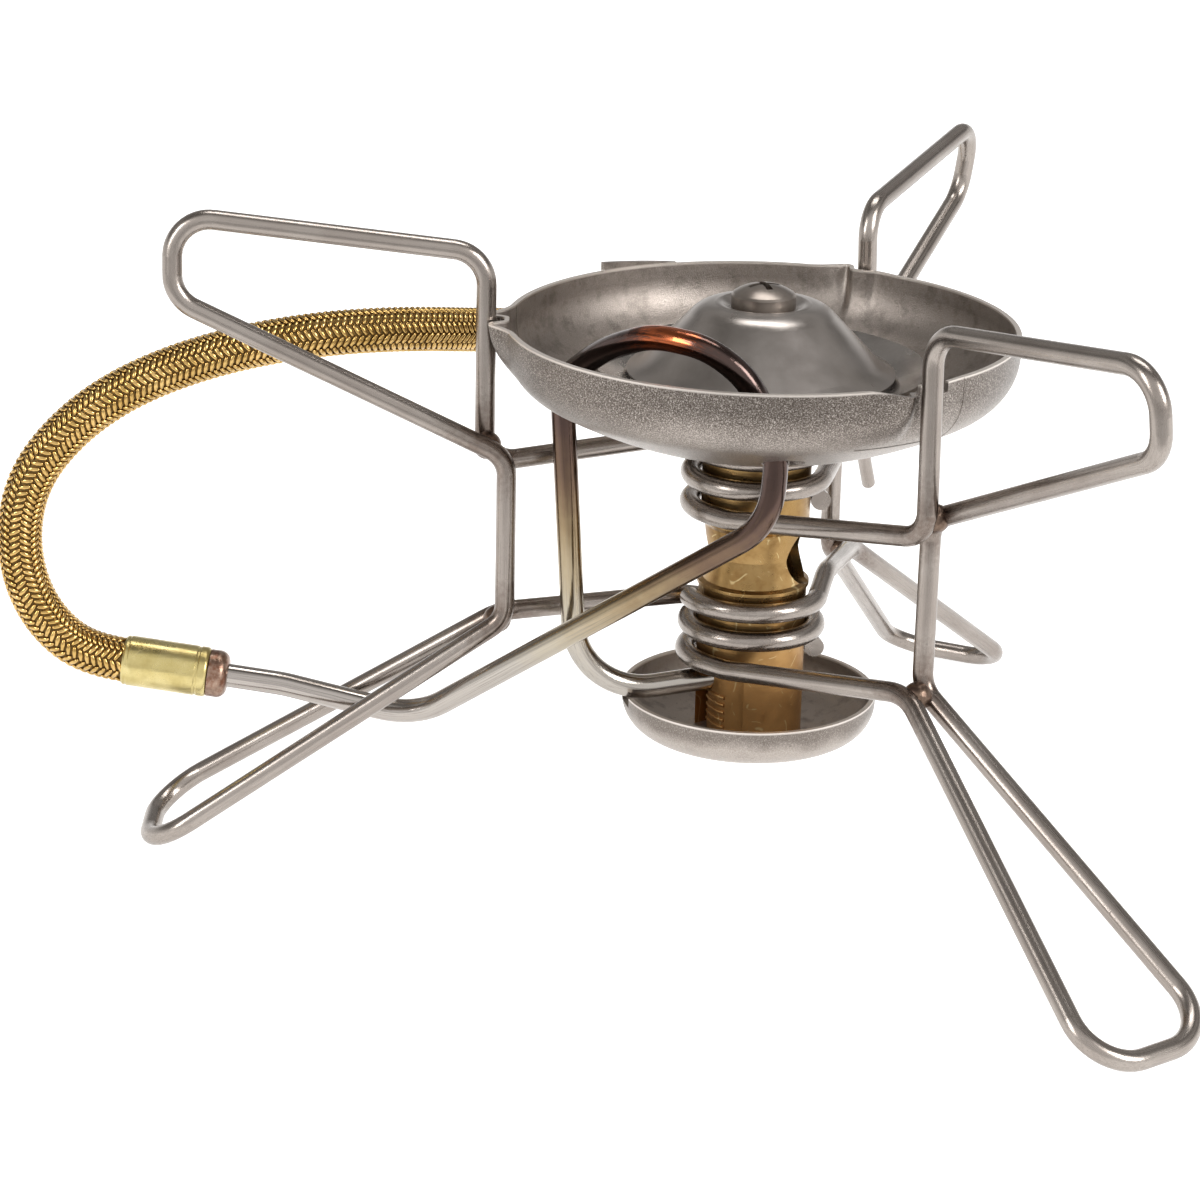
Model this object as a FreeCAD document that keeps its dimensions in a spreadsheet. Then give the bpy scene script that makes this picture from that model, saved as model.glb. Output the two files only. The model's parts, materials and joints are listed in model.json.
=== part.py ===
import FreeCAD, Part
import math
import os
import Sketcher
from FreeCAD import Placement, Rotation, Vector

# Liquid fuel camping stove: three bent wire legs, a stamped flame bowl and a braided fuel hose.
# Frame: the origin is on the burner tube's axis at floor level, +Z up, and the front faces -Y.
# The leg along -X is held by the fuel line that threads its foot; the other two legs swing.

os.makedirs("parts", exist_ok=True)
doc = FreeCAD.newDocument("CampStove")
sheet = doc.addObject("Spreadsheet::Sheet", "Dims")

SIZES = [
    # wire frame
    ("wire_dia", 3.5), ("wire_gap", 0.3), ("hinge_clear", 0.3),
    ("support_reach", 100.8), ("support_rise", 17.0), ("support_heel", 9.6),
    ("support_drop", 14.0), ("foot_reach", 106.2), ("foot_half_width", 13.0),
    ("crossing_drop", 23.6), ("knee_drop", 53.2), ("step_in", 3.9), ("elbow_drop", 1.4),
    ("stand_clear", 1.35), ("bend_small", 5.2), ("bend_wide", 8.5), ("braze_dia", 4.9),
    ("az_fixed", 181.0), ("az_back", 63.3), ("az_front", 303.7),
    ("wrap_fixed", 282.0), ("wrap_back", 282.0), ("wrap_front", 222.0),
    ("low_wrap_fixed", 300.0), ("low_wrap_back", 152.0), ("arm_dip", 1.2),
    ("arm_rise", 1.8), ("lean_back", 1.2), ("lean_front", 0.8),
    ("coil_pitch", 5.3), ("coil_top_drop", 21.4), ("coil_low_drop", 48.8),
    # flame bowl
    ("rim_height", 96.0), ("bowl_dia", 88.6), ("bowl_sheet", 0.9), ("bowl_wall", 3.0),
    ("bowl_knuckle", 10.0), ("bowl_depth", 22.0), ("boss_dia", 31.6), ("boss_drop", 18.7),
    ("ear_tip", 2.9), ("ear_low", 0.7), ("ear_span", 13.0), ("ear_depth", 11.0),
    ("ear_clear", 0.35), ("pleat_thin", 0.05), ("lip_step", 1.7), ("lip_fall", 1.0),
    ("tab_high", 1.65), ("tab_low", 0.25),
    # burner tube and head
    ("tube_dia", 19.0), ("tube_bore", 14.4), ("waist_dia", 16.8), ("ridge_dia", 19.7),
    ("spigot_dia", 17.2), ("spigot_height", 5.7), ("air_hole", 9.6), ("nut_height", 3.4),
    ("bell_floor_dia", 35.0), ("bell_height", 10.1), ("flange_room", 15.5), ("bell_sheet", 0.7),
    ("foot_room", 7.9), ("cone_sheet", 0.7), ("crest_dia", 16.2), ("seat_rise", 3.0),
    ("screw_dia", 4.0), ("head_dia", 11.1), ("head_band", 2.1), ("head_dome", 2.0),
    ("flare", 2.3),
    ("ring_outer_dia", 33.6), ("ring_gap", 0.5), ("ring_wall", 0.8), ("nut_wall", 1.3),
    # priming cup and jet
    ("cup_dia", 45.0), ("cup_sheet", 0.8), ("cup_drop", 66.7), ("cup_wall", 1.5),
    ("cup_knuckle", 6.0), ("cup_crown", 81.0), ("port_drop", 64.0), ("port_azimuth", 192.0),
    ("cavity_dia", 5.2), ("needle_clear", 0.4), ("plug_dia", 8.0), ("plug_head", 11.0),
    # fuel line
    ("line_dia", 4.2), ("line_bore", 2.4), ("cable_dia", 1.7), ("line_clear", 0.5),
    ("hole_clear", 1.1),
    ("hose_dia", 8.0), ("ferrule_dia", 8.9), ("ferrule_length", 15.2), ("collar_length", 1.3),
    ("dome_length", 2.1), ("far_tube_dia", 3.2), ("far_tube_length", 36.0),
    ("far_spigot_dia", 2.6),
]
for row, (alias, number) in enumerate(SIZES, start=1):
    sheet.set("A%d" % row, alias)
    sheet.set("B%d" % row, str(number))
    sheet.setAlias("B%d" % row, alias)
doc.recompute()


class Dim:
    """A size that carries its number together with the sheet expression it comes from."""

    def __init__(self, number, text):
        self.v = number
        self.text = text

    @staticmethod
    def wrap(other):
        return other if isinstance(other, Dim) else Dim(float(other), "%.6g" % other)

    def __add__(self, other):
        other = Dim.wrap(other)
        return Dim(self.v + other.v, "(%s + %s)" % (self.text, other.text))

    def __sub__(self, other):
        other = Dim.wrap(other)
        return Dim(self.v - other.v, "(%s - %s)" % (self.text, other.text))

    def __mul__(self, other):
        other = Dim.wrap(other)
        return Dim(self.v * other.v, "(%s * %s)" % (self.text, other.text))

    def __truediv__(self, other):
        other = Dim.wrap(other)
        return Dim(self.v / other.v, "(%s / %s)" % (self.text, other.text))

    def root(self):
        return Dim(math.sqrt(self.v), "sqrt(%s)" % self.text)


def size(alias):
    return Dim(float(sheet.get(alias)), "Dims." + alias)


def mm(alias):
    return float(sheet.get(alias))


def drop(depth):
    """A height, given as the distance below the bowl's rim."""
    return size("rim_height") - depth


SUBPARTS = []


def new_body(label, keep=True):
    body = doc.addObject("PartDesign::Body", label)
    body.Label = label
    if keep:
        SUBPARTS.append(body)
    return body


def new_solid(label, shape, placement=None, keep=True):
    solid = doc.addObject("Part::Feature", label)
    solid.Label = label
    solid.Shape = shape
    if placement is not None:
        solid.Placement = placement
    if keep:
        SUBPARTS.append(solid)
    return solid


def origin_item(body, role):
    for feature in body.Origin.OriginFeatures:
        if feature.Role == role:
            return feature
    raise ValueError(role)


def sketch_on(body, name, role, lift):
    sketch = body.newObject("Sketcher::SketchObject", name)
    sketch.AttachmentSupport = (origin_item(body, role), [""])
    sketch.MapMode = "FlatFace"
    if lift is not None:
        sketch.setExpression("AttachmentOffset.Base.z", lift.text)
    return sketch


def add_outline(sketch, corners):
    """A closed outline. A corner (x, y) starts a line and (x, y, radius, side) starts an arc.

    Side +1 bulges to the left of the way round and -1 to the right.
    """
    corners = [tuple(Dim.wrap(n) for n in c[:3]) + tuple(c[3:]) for c in corners]
    ends = [Vector(c[0].v, c[1].v, 0) for c in corners]
    first = len(sketch.Geometry)
    count = len(corners)
    vertices = []
    for i, corner in enumerate(corners):
        a = ends[i]
        b = ends[(i + 1) % count]
        if len(corner) == 2:
            sketch.addGeometry(Part.LineSegment(a, b), False)
            vertices.append((1, 2))
            continue
        half = (b - a).Length / 2.0
        radius = corner[2].v
        rise = radius - math.sqrt(max(radius * radius - half * half, 0.0))
        normal = Vector(a.y - b.y, b.x - a.x, 0).normalize()
        middle = (a + b) * 0.5 + normal * (rise * corner[3])
        if corner[3] > 0:
            sketch.addGeometry(Part.Arc(b, middle, a), False)
            vertices.append((2, 1))
        else:
            sketch.addGeometry(Part.Arc(a, middle, b), False)
            vertices.append((1, 2))
    joins = []
    rules = []
    for i, corner in enumerate(corners):
        j = (i + 1) % count
        joins.append(Sketcher.Constraint(
            "Coincident", first + i, vertices[i][1], first + j, vertices[j][0]))
        rules.append((corner[0], "DistanceX", -1, 1, first + i, vertices[i][0]))
        rules.append((corner[1], "DistanceY", -1, 1, first + i, vertices[i][0]))
        if len(corner) > 2:
            rules.append((corner[2], "Radius", first + i))
    sketch.addConstraint(joins)
    bind(sketch, rules)


def bind(sketch, rules):
    """Adds the driving constraints together, then ties each to its sheet expression."""
    numbers = sketch.addConstraint(
        [Sketcher.Constraint(rule[1], *rule[2:], rule[0].v) for rule in rules])
    for number, rule in zip(numbers, rules):
        if "Dims" in rule[0].text:
            sketch.setExpression("Constraints[%d]" % number, rule[0].text)


def add_circle(sketch, x, y, radius):
    x, y, radius = Dim.wrap(x), Dim.wrap(y), Dim.wrap(radius)
    index = len(sketch.Geometry)
    sketch.addGeometry(Part.Circle(Vector(x.v, y.v, 0), Vector(0, 0, 1), radius.v), False)
    bind(sketch, [
        (x, "DistanceX", -1, 1, index, 3),
        (y, "DistanceY", -1, 1, index, 3),
        (radius, "Radius", index),
    ])


def turned(body, corners):
    """A turned or spun shape: the outline is (radius, height) and goes once round the axis."""
    sketch = sketch_on(body, body.Label + "_profile", "XZ_Plane", None)
    add_outline(sketch, corners)
    feature = body.newObject("PartDesign::Revolution", body.Label + "_turned")
    feature.Profile = sketch
    feature.ReferenceAxis = (sketch, ["V_Axis"])
    feature.Angle = 360.0
    sketch.Visibility = False
    return feature


def padded(body, name, lift, height, corners=None, circles=()):
    sketch = sketch_on(body, name + "_outline", "XY_Plane", lift)
    if corners:
        add_outline(sketch, corners)
    for x, y, radius in circles:
        add_circle(sketch, x, y, radius)
    feature = body.newObject("PartDesign::Pad", name)
    feature.Profile = sketch
    feature.setExpression("Length", Dim.wrap(height).text)
    return feature


def pocketed(body, name, role, lift, depth, corners=None, circles=(), reverse=False):
    """A cut of a given depth, or right through both ways when depth is None."""
    doc.recompute()
    before = body.Shape.Volume
    sketch = sketch_on(body, name + "_outline", role, lift)
    if corners:
        add_outline(sketch, corners)
    for x, y, radius in circles:
        add_circle(sketch, x, y, radius)
    feature = body.newObject("PartDesign::Pocket", name)
    feature.Profile = sketch
    if depth is None:
        feature.Type = 1
        feature.Midplane = True
    else:
        feature.setExpression("Length", Dim.wrap(depth).text)
        feature.Reversed = reverse
    doc.recompute()
    print("cut %s removes %.2f mm3" % (name, before - body.Shape.Volume))
    if before - body.Shape.Volume < 1e-3:
        raise RuntimeError(name + " cuts nothing")
    return feature


def round_the_axis(body, feature, count):
    pattern = body.newObject("PartDesign::PolarPattern", feature.Label + "_pattern")
    pattern.Originals = [feature]
    pattern.Axis = (origin_item(body, "Z_Axis"), [""])
    pattern.Angle = 360.0
    pattern.Occurrences = count
    body.Tip = pattern
    doc.recompute()
    return pattern


# Bent wires and tubes


def polar(radius, azimuth, height):
    angle = math.radians(azimuth)
    return Vector(radius * math.cos(angle), radius * math.sin(angle), height)


def unit(vector):
    return Vector(vector) * (1.0 / vector.Length)


def bent_edges(points, radii):
    """Straight runs between the points, joined by tangent arcs with the given radii."""
    edges = []
    here = points[0]
    for i in range(1, len(points) - 1):
        corner = points[i]
        back = unit(points[i - 1] - corner)
        on = unit(points[i + 1] - corner)
        half_turn = (math.pi - back.getAngle(on)) / 2.0
        reach = radii[i - 1] * math.tan(half_turn)
        inward = unit(back + on)
        centre = corner + inward * (radii[i - 1] / math.cos(half_turn))
        start = corner + back * reach
        end = corner + on * reach
        if (start - here).Length > 1e-5:
            edges.append(Part.LineSegment(here, start).toShape())
        edges.append(Part.Arc(start, centre - inward * radii[i - 1], end).toShape())
        here = end
    edges.append(Part.LineSegment(here, points[-1]).toShape())
    return edges


def ring_edges(radius, height, start, stop):
    """A level arc round the tube's axis from azimuth start to stop, in even pieces."""
    pieces = max(1, math.ceil(abs(stop - start) / 100.0))
    step = (stop - start) / pieces
    edges = []
    for i in range(pieces):
        a = start + i * step
        edges.append(Part.Arc(
            polar(radius, a, height),
            polar(radius, a + step / 2.0, height),
            polar(radius, a + step, height)).toShape())
    return edges


def round_bar(edges, diameter):
    """A round bar along a tangent path; its volume is compared with section times length."""
    path = Part.Wire(edges)
    start = path.OrderedVertexes[0].Point
    ahead = path.OrderedEdges[0]
    low, high = ahead.ParameterRange
    at_low = (ahead.valueAt(low) - start).Length < 1e-6
    tangent = ahead.tangentAt(low) if at_low else ahead.tangentAt(high) * -1.0
    ring = Part.Wire([Part.Circle(start, tangent, diameter / 2.0).toShape()])
    bar = path.makePipeShell([ring], True, False)
    expected = math.pi * diameter ** 2 / 4.0 * path.Length
    if bar.Volume < 0:
        bar = bar.reversed()
    error = bar.Volume / expected - 1.0
    if abs(error) > 0.01:
        raise RuntimeError("bar volume is off by %.4f" % error)
    return bar, path.Length


# Wire legs


def swung(x, y, z, turn):
    """A point of a leg's own frame, turned about the tube's axis."""
    return Rotation(Vector(0, 0, 1), turn).multVec(Vector(x, y, z))


def leg_shape(rings, wraps, clear, dip, rise, lean, splay, lift):
    """One leg in its own frame: the support points along +X and the arms come from the coils.

    The single wire runs from the cut end of the upper coil along the arm, up through the
    upright, out and back round the pot support, down the inner upright, round the foot and
    back along the lower arm into the lower coil. Rings and wraps hold the ring number from the
    top and the angle of wire on the tube, for the upper and then the lower coil. Each leg is
    bent by hand: dip lowers its upper arm, rise lifts the lower arm at the coil, lean turns its
    support and splay its foot about the tube by some degrees, and lift raises its heel.
    """
    wire = mm("wire_dia")
    rim = mm("rim_height")
    stand = mm("bowl_dia") / 2.0 + wire / 2.0 + mm("stand_clear")
    inner = stand - mm("step_in")
    side = wire + mm("wire_gap")
    coil = mm("tube_dia") / 2.0 + clear + wire / 2.0
    top = rim - mm("coil_top_drop") - rings[0] * mm("coil_pitch")
    low = rim - mm("coil_low_drop") - rings[1] * mm("coil_pitch")
    crossing = rim - mm("crossing_drop")
    knee = rim - mm("knee_drop")
    small = mm("bend_small")
    wide = mm("bend_wide")
    touch = -math.degrees(math.acos(coil / stand))
    lead = unit(Vector(stand, 0, 0) - polar(coil, touch, 0))
    foot = mm("foot_half_width")
    ground = wire / 2.0
    knee_reach = inner + 1.0
    touch_low = -math.degrees(math.acos(coil / knee_reach))
    lead_low = unit(Vector(knee_reach, 0, 0) - polar(coil, touch_low, 0))
    points = [
        polar(coil, touch, top),
        polar(coil, touch, top - dip) + lead * (4.0 + dip * 4.0),
        Vector(stand, 0, crossing - mm("elbow_drop") - dip * 0.8),
        swung(stand, 0, rim + mm("support_heel") + lift, lean),
        swung(mm("support_reach"), 0, rim + mm("support_rise"), lean),
        swung(mm("support_reach"), side / 2.0,
              rim + mm("support_rise") - mm("support_drop"), lean),
        Vector(inner, side + 0.25, crossing),
        Vector(inner, side + 0.25, knee),
        swung(mm("foot_reach"), foot, ground, splay),
        swung(mm("foot_reach"), -foot, ground, splay),
        Vector(knee_reach, 0, knee),
        polar(coil, touch_low, low + rise) + lead_low * (4.0 + rise * 3.0),
        polar(coil, touch_low, low),
    ]
    radii = [14.0, small, small + 1.0, small + 1.2, small + 1.2, small, small,
             wide, wide, wide, 14.0]
    edges = ring_edges(coil, top, touch - wraps[0], touch)
    edges += bent_edges(points, radii)
    edges += ring_edges(coil, low, touch_low, touch_low - wraps[1])
    bar, length = round_bar(edges, wire)
    cut_end = polar(coil, touch - max(wraps), 0)
    arm_gap = cut_end.distanceToLine(points[0] - Vector(0, 0, top), lead) - wire
    print("leg ring %d: wire length %.1f mm, least gap to itself %.2f mm" % (
        rings[0], length, min(arm_gap, side + 0.25 - wire, mm("coil_low_drop") - mm("coil_top_drop"))))
    joints = (
        Vector(stand - 0.5, (side + 0.25) / 2.0, crossing + 1.5),
        Vector(knee_reach + 0.3, (side + 0.25) / 2.0, knee - 0.7),
    )
    return bar, joints


def build_leg(word, azimuth, rings, wraps, clear, dip, rise, lean, splay, lift):
    bar, joints = leg_shape(rings, wraps, clear, dip, rise, lean, splay, lift)
    place = Placement(Vector(0, 0, 0), Rotation(Vector(0, 0, 1), azimuth))
    new_solid("leg_" + word, bar, place)
    for level, centre in zip(("upper", "lower"), joints):
        bead = Part.makeSphere(mm("braze_dia") / 2.0, centre).cut(bar)
        beads = sorted(bead.Solids, key=lambda s: -s.Volume)
        new_solid("braze_%s_%s" % (word, level), beads[0], place)


# Flame bowl


def dish_outline(radius, wall, knuckle, crown, sheet_gauge, floor, floor_inside):
    """A pressed dish: rim, straight wall, knuckle arc and crown arc down to a flat floor.

    Returns corners relative to the rim level as (radius, depth) pairs with depth negative.
    """
    across = radius - knuckle
    centre = ((crown - knuckle) * (crown - knuckle) - across * across).root() - wall
    share = crown / (crown - knuckle)
    inner_share = (crown - sheet_gauge) / (crown - knuckle)
    zero = radius * 0.0
    outside = [
        (radius, zero),
        (radius, zero - wall, knuckle, 1),
        (across * share, centre - (centre + wall) * share, crown, 1),
        (floor, centre - (crown * crown - floor * floor).root()),
    ]
    inner_crown = crown - sheet_gauge
    inside = [
        (floor_inside,
         centre - (inner_crown * inner_crown - floor_inside * floor_inside).root(),
         inner_crown, -1),
        (across * inner_share, centre - (centre + wall) * inner_share,
         knuckle - sheet_gauge, -1),
        (radius - sheet_gauge, zero - wall),
        (radius - sheet_gauge, zero),
    ]
    return outside, inside, centre


def bowl_crown():
    """The crown radius that makes the bowl as deep as its depth on the axis."""
    across = size("bowl_dia") / 2.0 - size("bowl_knuckle")
    below = size("bowl_depth") - size("bowl_wall")
    knuckle = size("bowl_knuckle")
    return (across * across + below * below - knuckle * knuckle) / ((below - knuckle) * 2.0)


def lifted(corners, level):
    return [(c[0], level + c[1]) + tuple(c[2:]) for c in corners]


def wall_radius(depth, inset):
    """The bowl's wall radius at a depth below the rim, inset by 0 outside or by the sheet inside."""
    knuckle = mm("bowl_knuckle") - inset
    below = max(depth - mm("bowl_wall"), 0.0)
    return mm("bowl_dia") / 2.0 - mm("bowl_knuckle") + math.sqrt(knuckle ** 2 - below ** 2)


def pleat_section(depth, swell, ahead, behind):
    """The sheet's level section round one leg notch, as a closed wire in the notch's own frame.

    The sheet lies on the bowl's circle behind the wire and swells into a lip on either side.
    Pressing thins it a little, and it runs half a degree and half a millimetre into the bowl.
    """
    outer = wall_radius(depth, mm("pleat_thin"))
    inner = wall_radius(depth, mm("bowl_sheet") - mm("pleat_thin"))
    middle = (outer + inner) / 2.0
    half = (outer - inner) / 2.0
    near = mm("wire_dia") / 2.0 + mm("ear_clear") + mm("bowl_sheet") / 2.0
    span = math.radians(mm("ear_span") + 0.5) * middle
    shape = [(near * 0.46, 0.02), (near * 0.77, 0.40), (near, 0.85), (near + 0.7, 1.0),
             (near + 1.9, 0.82), (near + 3.8, 0.36), (near + 5.9, 0.07), (span, 0.0)]
    line = [(-s, swell * behind * share) for s, share in reversed(shape)]
    line += [(0.0, 0.0)]
    line += [(s, swell * ahead * share) for s, share in shape]
    places = [polar(middle + out, math.degrees(s / middle), 0.0) for s, out in line]
    curve = Part.BSplineCurve()
    first = polar(1.0, math.degrees(line[0][0] / middle) + 90.0, 0.0)
    last = polar(1.0, math.degrees(line[-1][0] / middle) + 90.0, 0.0)
    curve.interpolate(Points=places, InitialTangent=first * 3.0, FinalTangent=last * 3.0)
    edges = []
    ends = []
    for side in (half, -half):
        stations = []
        for spot in curve.getKnots():
            normal = curve.tangent(spot)[0].cross(Vector(0, 0, 1))
            stations.append(curve.value(spot) + normal * side)
        skin = Part.BSplineCurve()
        skin.interpolate(Points=stations, InitialTangent=first * 3.0, FinalTangent=last * 3.0)
        edges.append(skin.toShape())
        ends.append((stations[0], stations[-1]))
    edges.append(Part.makeLine(ends[0][1], ends[1][1]))
    edges.append(Part.makeLine(ends[0][0], ends[1][0]))
    wire = Part.Wire(Part.__sortEdges__(edges))
    wire.translate(Vector(0, 0, mm("rim_height") - depth))
    return wire


def pleat_solid(ahead, behind, step, fall):
    """The pleated sheet of one notch.

    Step lowers the rim's edge just ahead of the wire, and fall lets it sink towards the wire
    from behind.
    """
    depth = mm("ear_depth")
    levels = [(depth + 0.5, 0.0), (depth * 0.93, 0.04), (depth * 0.80, 0.15), (depth * 0.64, 0.33),
              (depth * 0.45, 0.58), (depth * 0.27, 0.80), (depth * 0.12, 0.93), (0.0, 1.0)]
    sections = [pleat_section(d, swell, ahead, behind) for d, swell in levels]
    pleat = Part.makeLoft(sections, True, False)
    if step > 0:
        radius = mm("bowl_dia") / 2.0
        near = mm("wire_dia") / 2.0
        pleat = pleat.cut(Part.makeBox(
            8.0, 4.4, step + 1.0, Vector(radius - 4.0, near - 0.4, mm("rim_height") - step)))
        lid = Part.makeBox(9.0, 9.0, 4.0, Vector(radius - 4.0, -9.0, -fall))
        lid.rotate(Vector(radius, -near, -fall), Vector(1, 0, 0), -8.0)
        lid.translate(Vector(0, 0, mm("rim_height")))
        pleat = pleat.cut(lid)
    return pleat


def build_bowl():
    """The stamped bowl: spun dish with a raised boss, leg notches with ears and two tube holes."""
    gauge = size("bowl_sheet")
    radius = size("bowl_dia") / 2.0
    boss = size("boss_dia") / 2.0
    hole = size("spigot_dia") / 2.0 + 0.15
    outside, inside, centre = dish_outline(
        radius, size("bowl_wall"), size("bowl_knuckle"), bowl_crown(), gauge,
        boss + 0.5, boss + 1.1)
    deep = size("boss_drop")
    zero = radius * 0.0
    corners = outside + [
        (boss - 0.3, zero - deep),
        (hole, zero - deep),
        (hole, zero - deep + gauge),
        (boss + 0.2, zero - deep + gauge),
    ] + inside
    blank = new_body("bowl_blank", keep=False)
    turned(blank, lifted(corners, size("rim_height")))
    line = size("line_dia") / 2.0 + size("hole_clear")
    left, front = bowl_crossings()
    pocketed(blank, "tube_hole_left", "XY_Plane", None, None, circles=[(left.x, left.y, line)])
    slot = [
        (front.x, front.y - line.v),
        (front.x + 2.4, front.y - line.v, line.v * 1.04, -1),
        (front.x + 2.4, front.y + line.v),
        (front.x, front.y + line.v, line.v * 1.04, -1),
    ]
    pocketed(blank, "tube_hole_front", "XY_Plane", None, None, corners=slot)
    doc.recompute()
    shape = blank.Shape.copy()
    span = mm("ear_span")
    base = Vector(0, 0, mm("rim_height") - mm("ear_depth"))
    share = (mm("crossing_drop") + mm("elbow_drop")) / (
        mm("crossing_drop") + mm("elbow_drop") + mm("support_heel"))
    notches = (
        (mm("az_fixed"), mm("ear_tip"), mm("ear_tip"), 0.0, 0.0),
        (mm("az_back") + mm("lean_back") * share, mm("ear_tip"), mm("ear_low"), 0.0, 0.0),
        (mm("az_front") - mm("lean_front") * share, mm("ear_low"), mm("ear_tip"), mm("lip_step"),
         mm("lip_fall")),
    )
    for azimuth, ahead, behind, step, fall in notches:
        wedge = Part.makeCylinder(radius.v + 5.0, 20.0, base, Vector(0, 0, 1), span * 2.0)
        wedge.rotate(Vector(0, 0, 0), Vector(0, 0, 1), azimuth - span)
        pleat = pleat_solid(ahead, behind, step, fall)
        pleat.rotate(Vector(0, 0, 0), Vector(0, 0, 1), azimuth)
        shape = shape.cut(wedge).fuse(pleat)
    width = math.radians(20.0) * radius.v
    middle = (mm("tab_high") + mm("tab_low")) / 2.0
    slope = math.degrees(math.atan2(mm("tab_high") - mm("tab_low"), width))
    tab = Part.makeCylinder(
        radius.v, mm("tab_high") + 1.0, Vector(0, 0, mm("rim_height") - 1.0),
        Vector(0, 0, 1), 20.0)
    tab = tab.cut(Part.makeCylinder(
        radius.v - gauge.v, mm("tab_high") + 3.0, Vector(0, 0, mm("rim_height") - 2.0)))
    tab.rotate(Vector(0, 0, 0), Vector(0, 0, 1), -10.0)
    lid = Part.makeBox(8.0, width + 4.0, 4.0, Vector(radius.v - 5.0, -width / 2.0 - 2.0, 0.0))
    lid.rotate(Vector(radius.v, 0, 0), Vector(1, 0, 0), slope)
    lid.translate(Vector(0, 0, mm("rim_height") + middle))
    tab = tab.cut(lid)
    tab.rotate(Vector(0, 0, 0), Vector(0, 0, 1), 119.2)
    shape = shape.fuse(tab)
    new_solid("burner_bowl", shape.Solids[0] if len(shape.Solids) == 1 else shape)


# Burner tube and head


def build_mixer_tube():
    """The brass mixing tube: spigot, coil seats, waist with air holes, ridge and lower seat."""
    tube = size("tube_dia") / 2.0
    bore = size("tube_bore") / 2.0
    spigot = size("spigot_dia") / 2.0
    waist = size("waist_dia") / 2.0
    ridge = size("ridge_dia") / 2.0
    boss = drop(size("boss_drop"))
    seat_end = drop(size("coil_top_drop") + size("coil_pitch") * 2.0 + size("wire_dia") / 2.0
                    + 1.2)
    ridge_low = drop(size("coil_low_drop") - size("wire_dia") / 2.0 - 0.3)
    middle = (seat_end + ridge_low) / 2.0
    body = new_body("mixer_tube")
    turned(body, [
        (bore, boss + size("spigot_height")),
        (spigot, boss + size("spigot_height")),
        (spigot, boss),
        (tube, boss),
        (tube, seat_end),
        (waist + 0.35, seat_end - 0.9),
        (waist, middle),
        (tube - 0.5, ridge_low + 1.2),
        (ridge, ridge_low + 0.8),
        (ridge, ridge_low + 0.2),
        (tube, ridge_low),
        (tube, cup_floor()),
        (bore, cup_floor()),
    ])
    air = size("air_hole") / 2.0
    pocketed(body, "air_holes", "YZ_Plane", None, None, circles=[(0.0, middle - 0.3, air)])
    body.Placement = Placement(Vector(0, 0, 0), Rotation(Vector(0, 0, 1), -15.0))
    slot = size("line_dia") / 2.0 + 1.6
    wide = slot + 3.2
    turn = size("port_azimuth") + 24.0
    port = drop(size("port_drop"))
    corners = [
        (slot * 0.0 - wide, cup_floor() - 1.0),
        (wide, cup_floor() - 1.0),
        (wide, port + slot),
        (slot * 0.0 - wide, port + slot),
    ]
    doc.recompute()
    before = body.Shape.Volume
    sketch = body.newObject("Sketcher::SketchObject", "port_slot_outline")
    sketch.AttachmentSupport = (origin_item(body, "YZ_Plane"), [""])
    sketch.MapMode = "FlatFace"
    sketch.AttachmentOffset = Placement(
        Vector(0, 0, 0), Rotation(Vector(0, 1, 0), turn.v - 180.0 + 15.0))
    add_outline(sketch, corners)
    cut = body.newObject("PartDesign::Pocket", "port_slot")
    cut.Profile = sketch
    cut.setExpression("Length", (tube + 2.0).text)
    cut.Reversed = False
    doc.recompute()
    print("cut port_slot removes %.2f mm3" % (before - body.Shape.Volume))


def cup_floor():
    """The height of the priming cup's floor, on which the tube stands."""
    radius = size("cup_dia") / 2.0
    knuckle = size("cup_knuckle")
    crown = size("cup_crown")
    across = radius - knuckle
    centre = ((crown - knuckle) * (crown - knuckle) - across * across).root() - size("cup_wall")
    flat = size("tube_dia") / 2.0 + 1.5
    low = centre - (crown * crown - flat * flat).root()
    return drop(size("cup_drop")) + low + size("cup_sheet")


def build_cup():
    gauge = size("cup_sheet")
    radius = size("cup_dia") / 2.0
    flat = size("tube_dia") / 2.0 + 1.5
    outside, inside, centre = dish_outline(
        radius, size("cup_wall"), size("cup_knuckle"), size("cup_crown"), gauge, flat, flat)
    hole = size("plug_dia") / 2.0 + 0.1
    level = drop(size("cup_drop"))
    floor = cup_floor() - level
    low = outside[-1][1]
    body = new_body("priming_cup")
    turned(body, lifted(
        outside + [(hole, low), (hole, floor), (flat - 0.6, floor)] + inside, level))
    side = size("line_dia") / 2.0 + 0.5
    zero = side * 0.0
    pocketed(body, "line_notch", "XY_Plane", level + 0.5, 2.2, [
        (zero - radius - 1.0, zero - side), (zero - radius + 3.5, zero - side),
        (zero - radius + 3.5, side), (zero - radius - 1.0, side)])
    body.Placement = Placement(
        Vector(0, 0, 0), Rotation(Vector(0, 0, 1), mm("port_azimuth") - 180.0))


def flange_radius():
    return size("bowl_dia") / 2.0 - size("flange_room")


def build_bell():
    """The spun burner bell that holds the flame rings and spreads into the bright flange."""
    base = drop(size("boss_drop") - size("bowl_sheet"))
    gauge = size("bell_sheet")
    hole = size("spigot_dia") / 2.0 + 0.15
    floor = size("bell_floor_dia") / 2.0
    flange = flange_radius()
    tall = size("bell_height")
    body = new_body("burner_bell")
    turned(body, [
        (hole, base),
        (floor, base),
        (floor + 3.6, base + tall * 0.66),
        (flange, base + tall),
        (flange, base + tall + gauge),
        (floor + 3.1, base + tall * 0.66 + gauge),
        (floor - 0.4, base + gauge),
        (hole, base + gauge),
    ])


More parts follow.
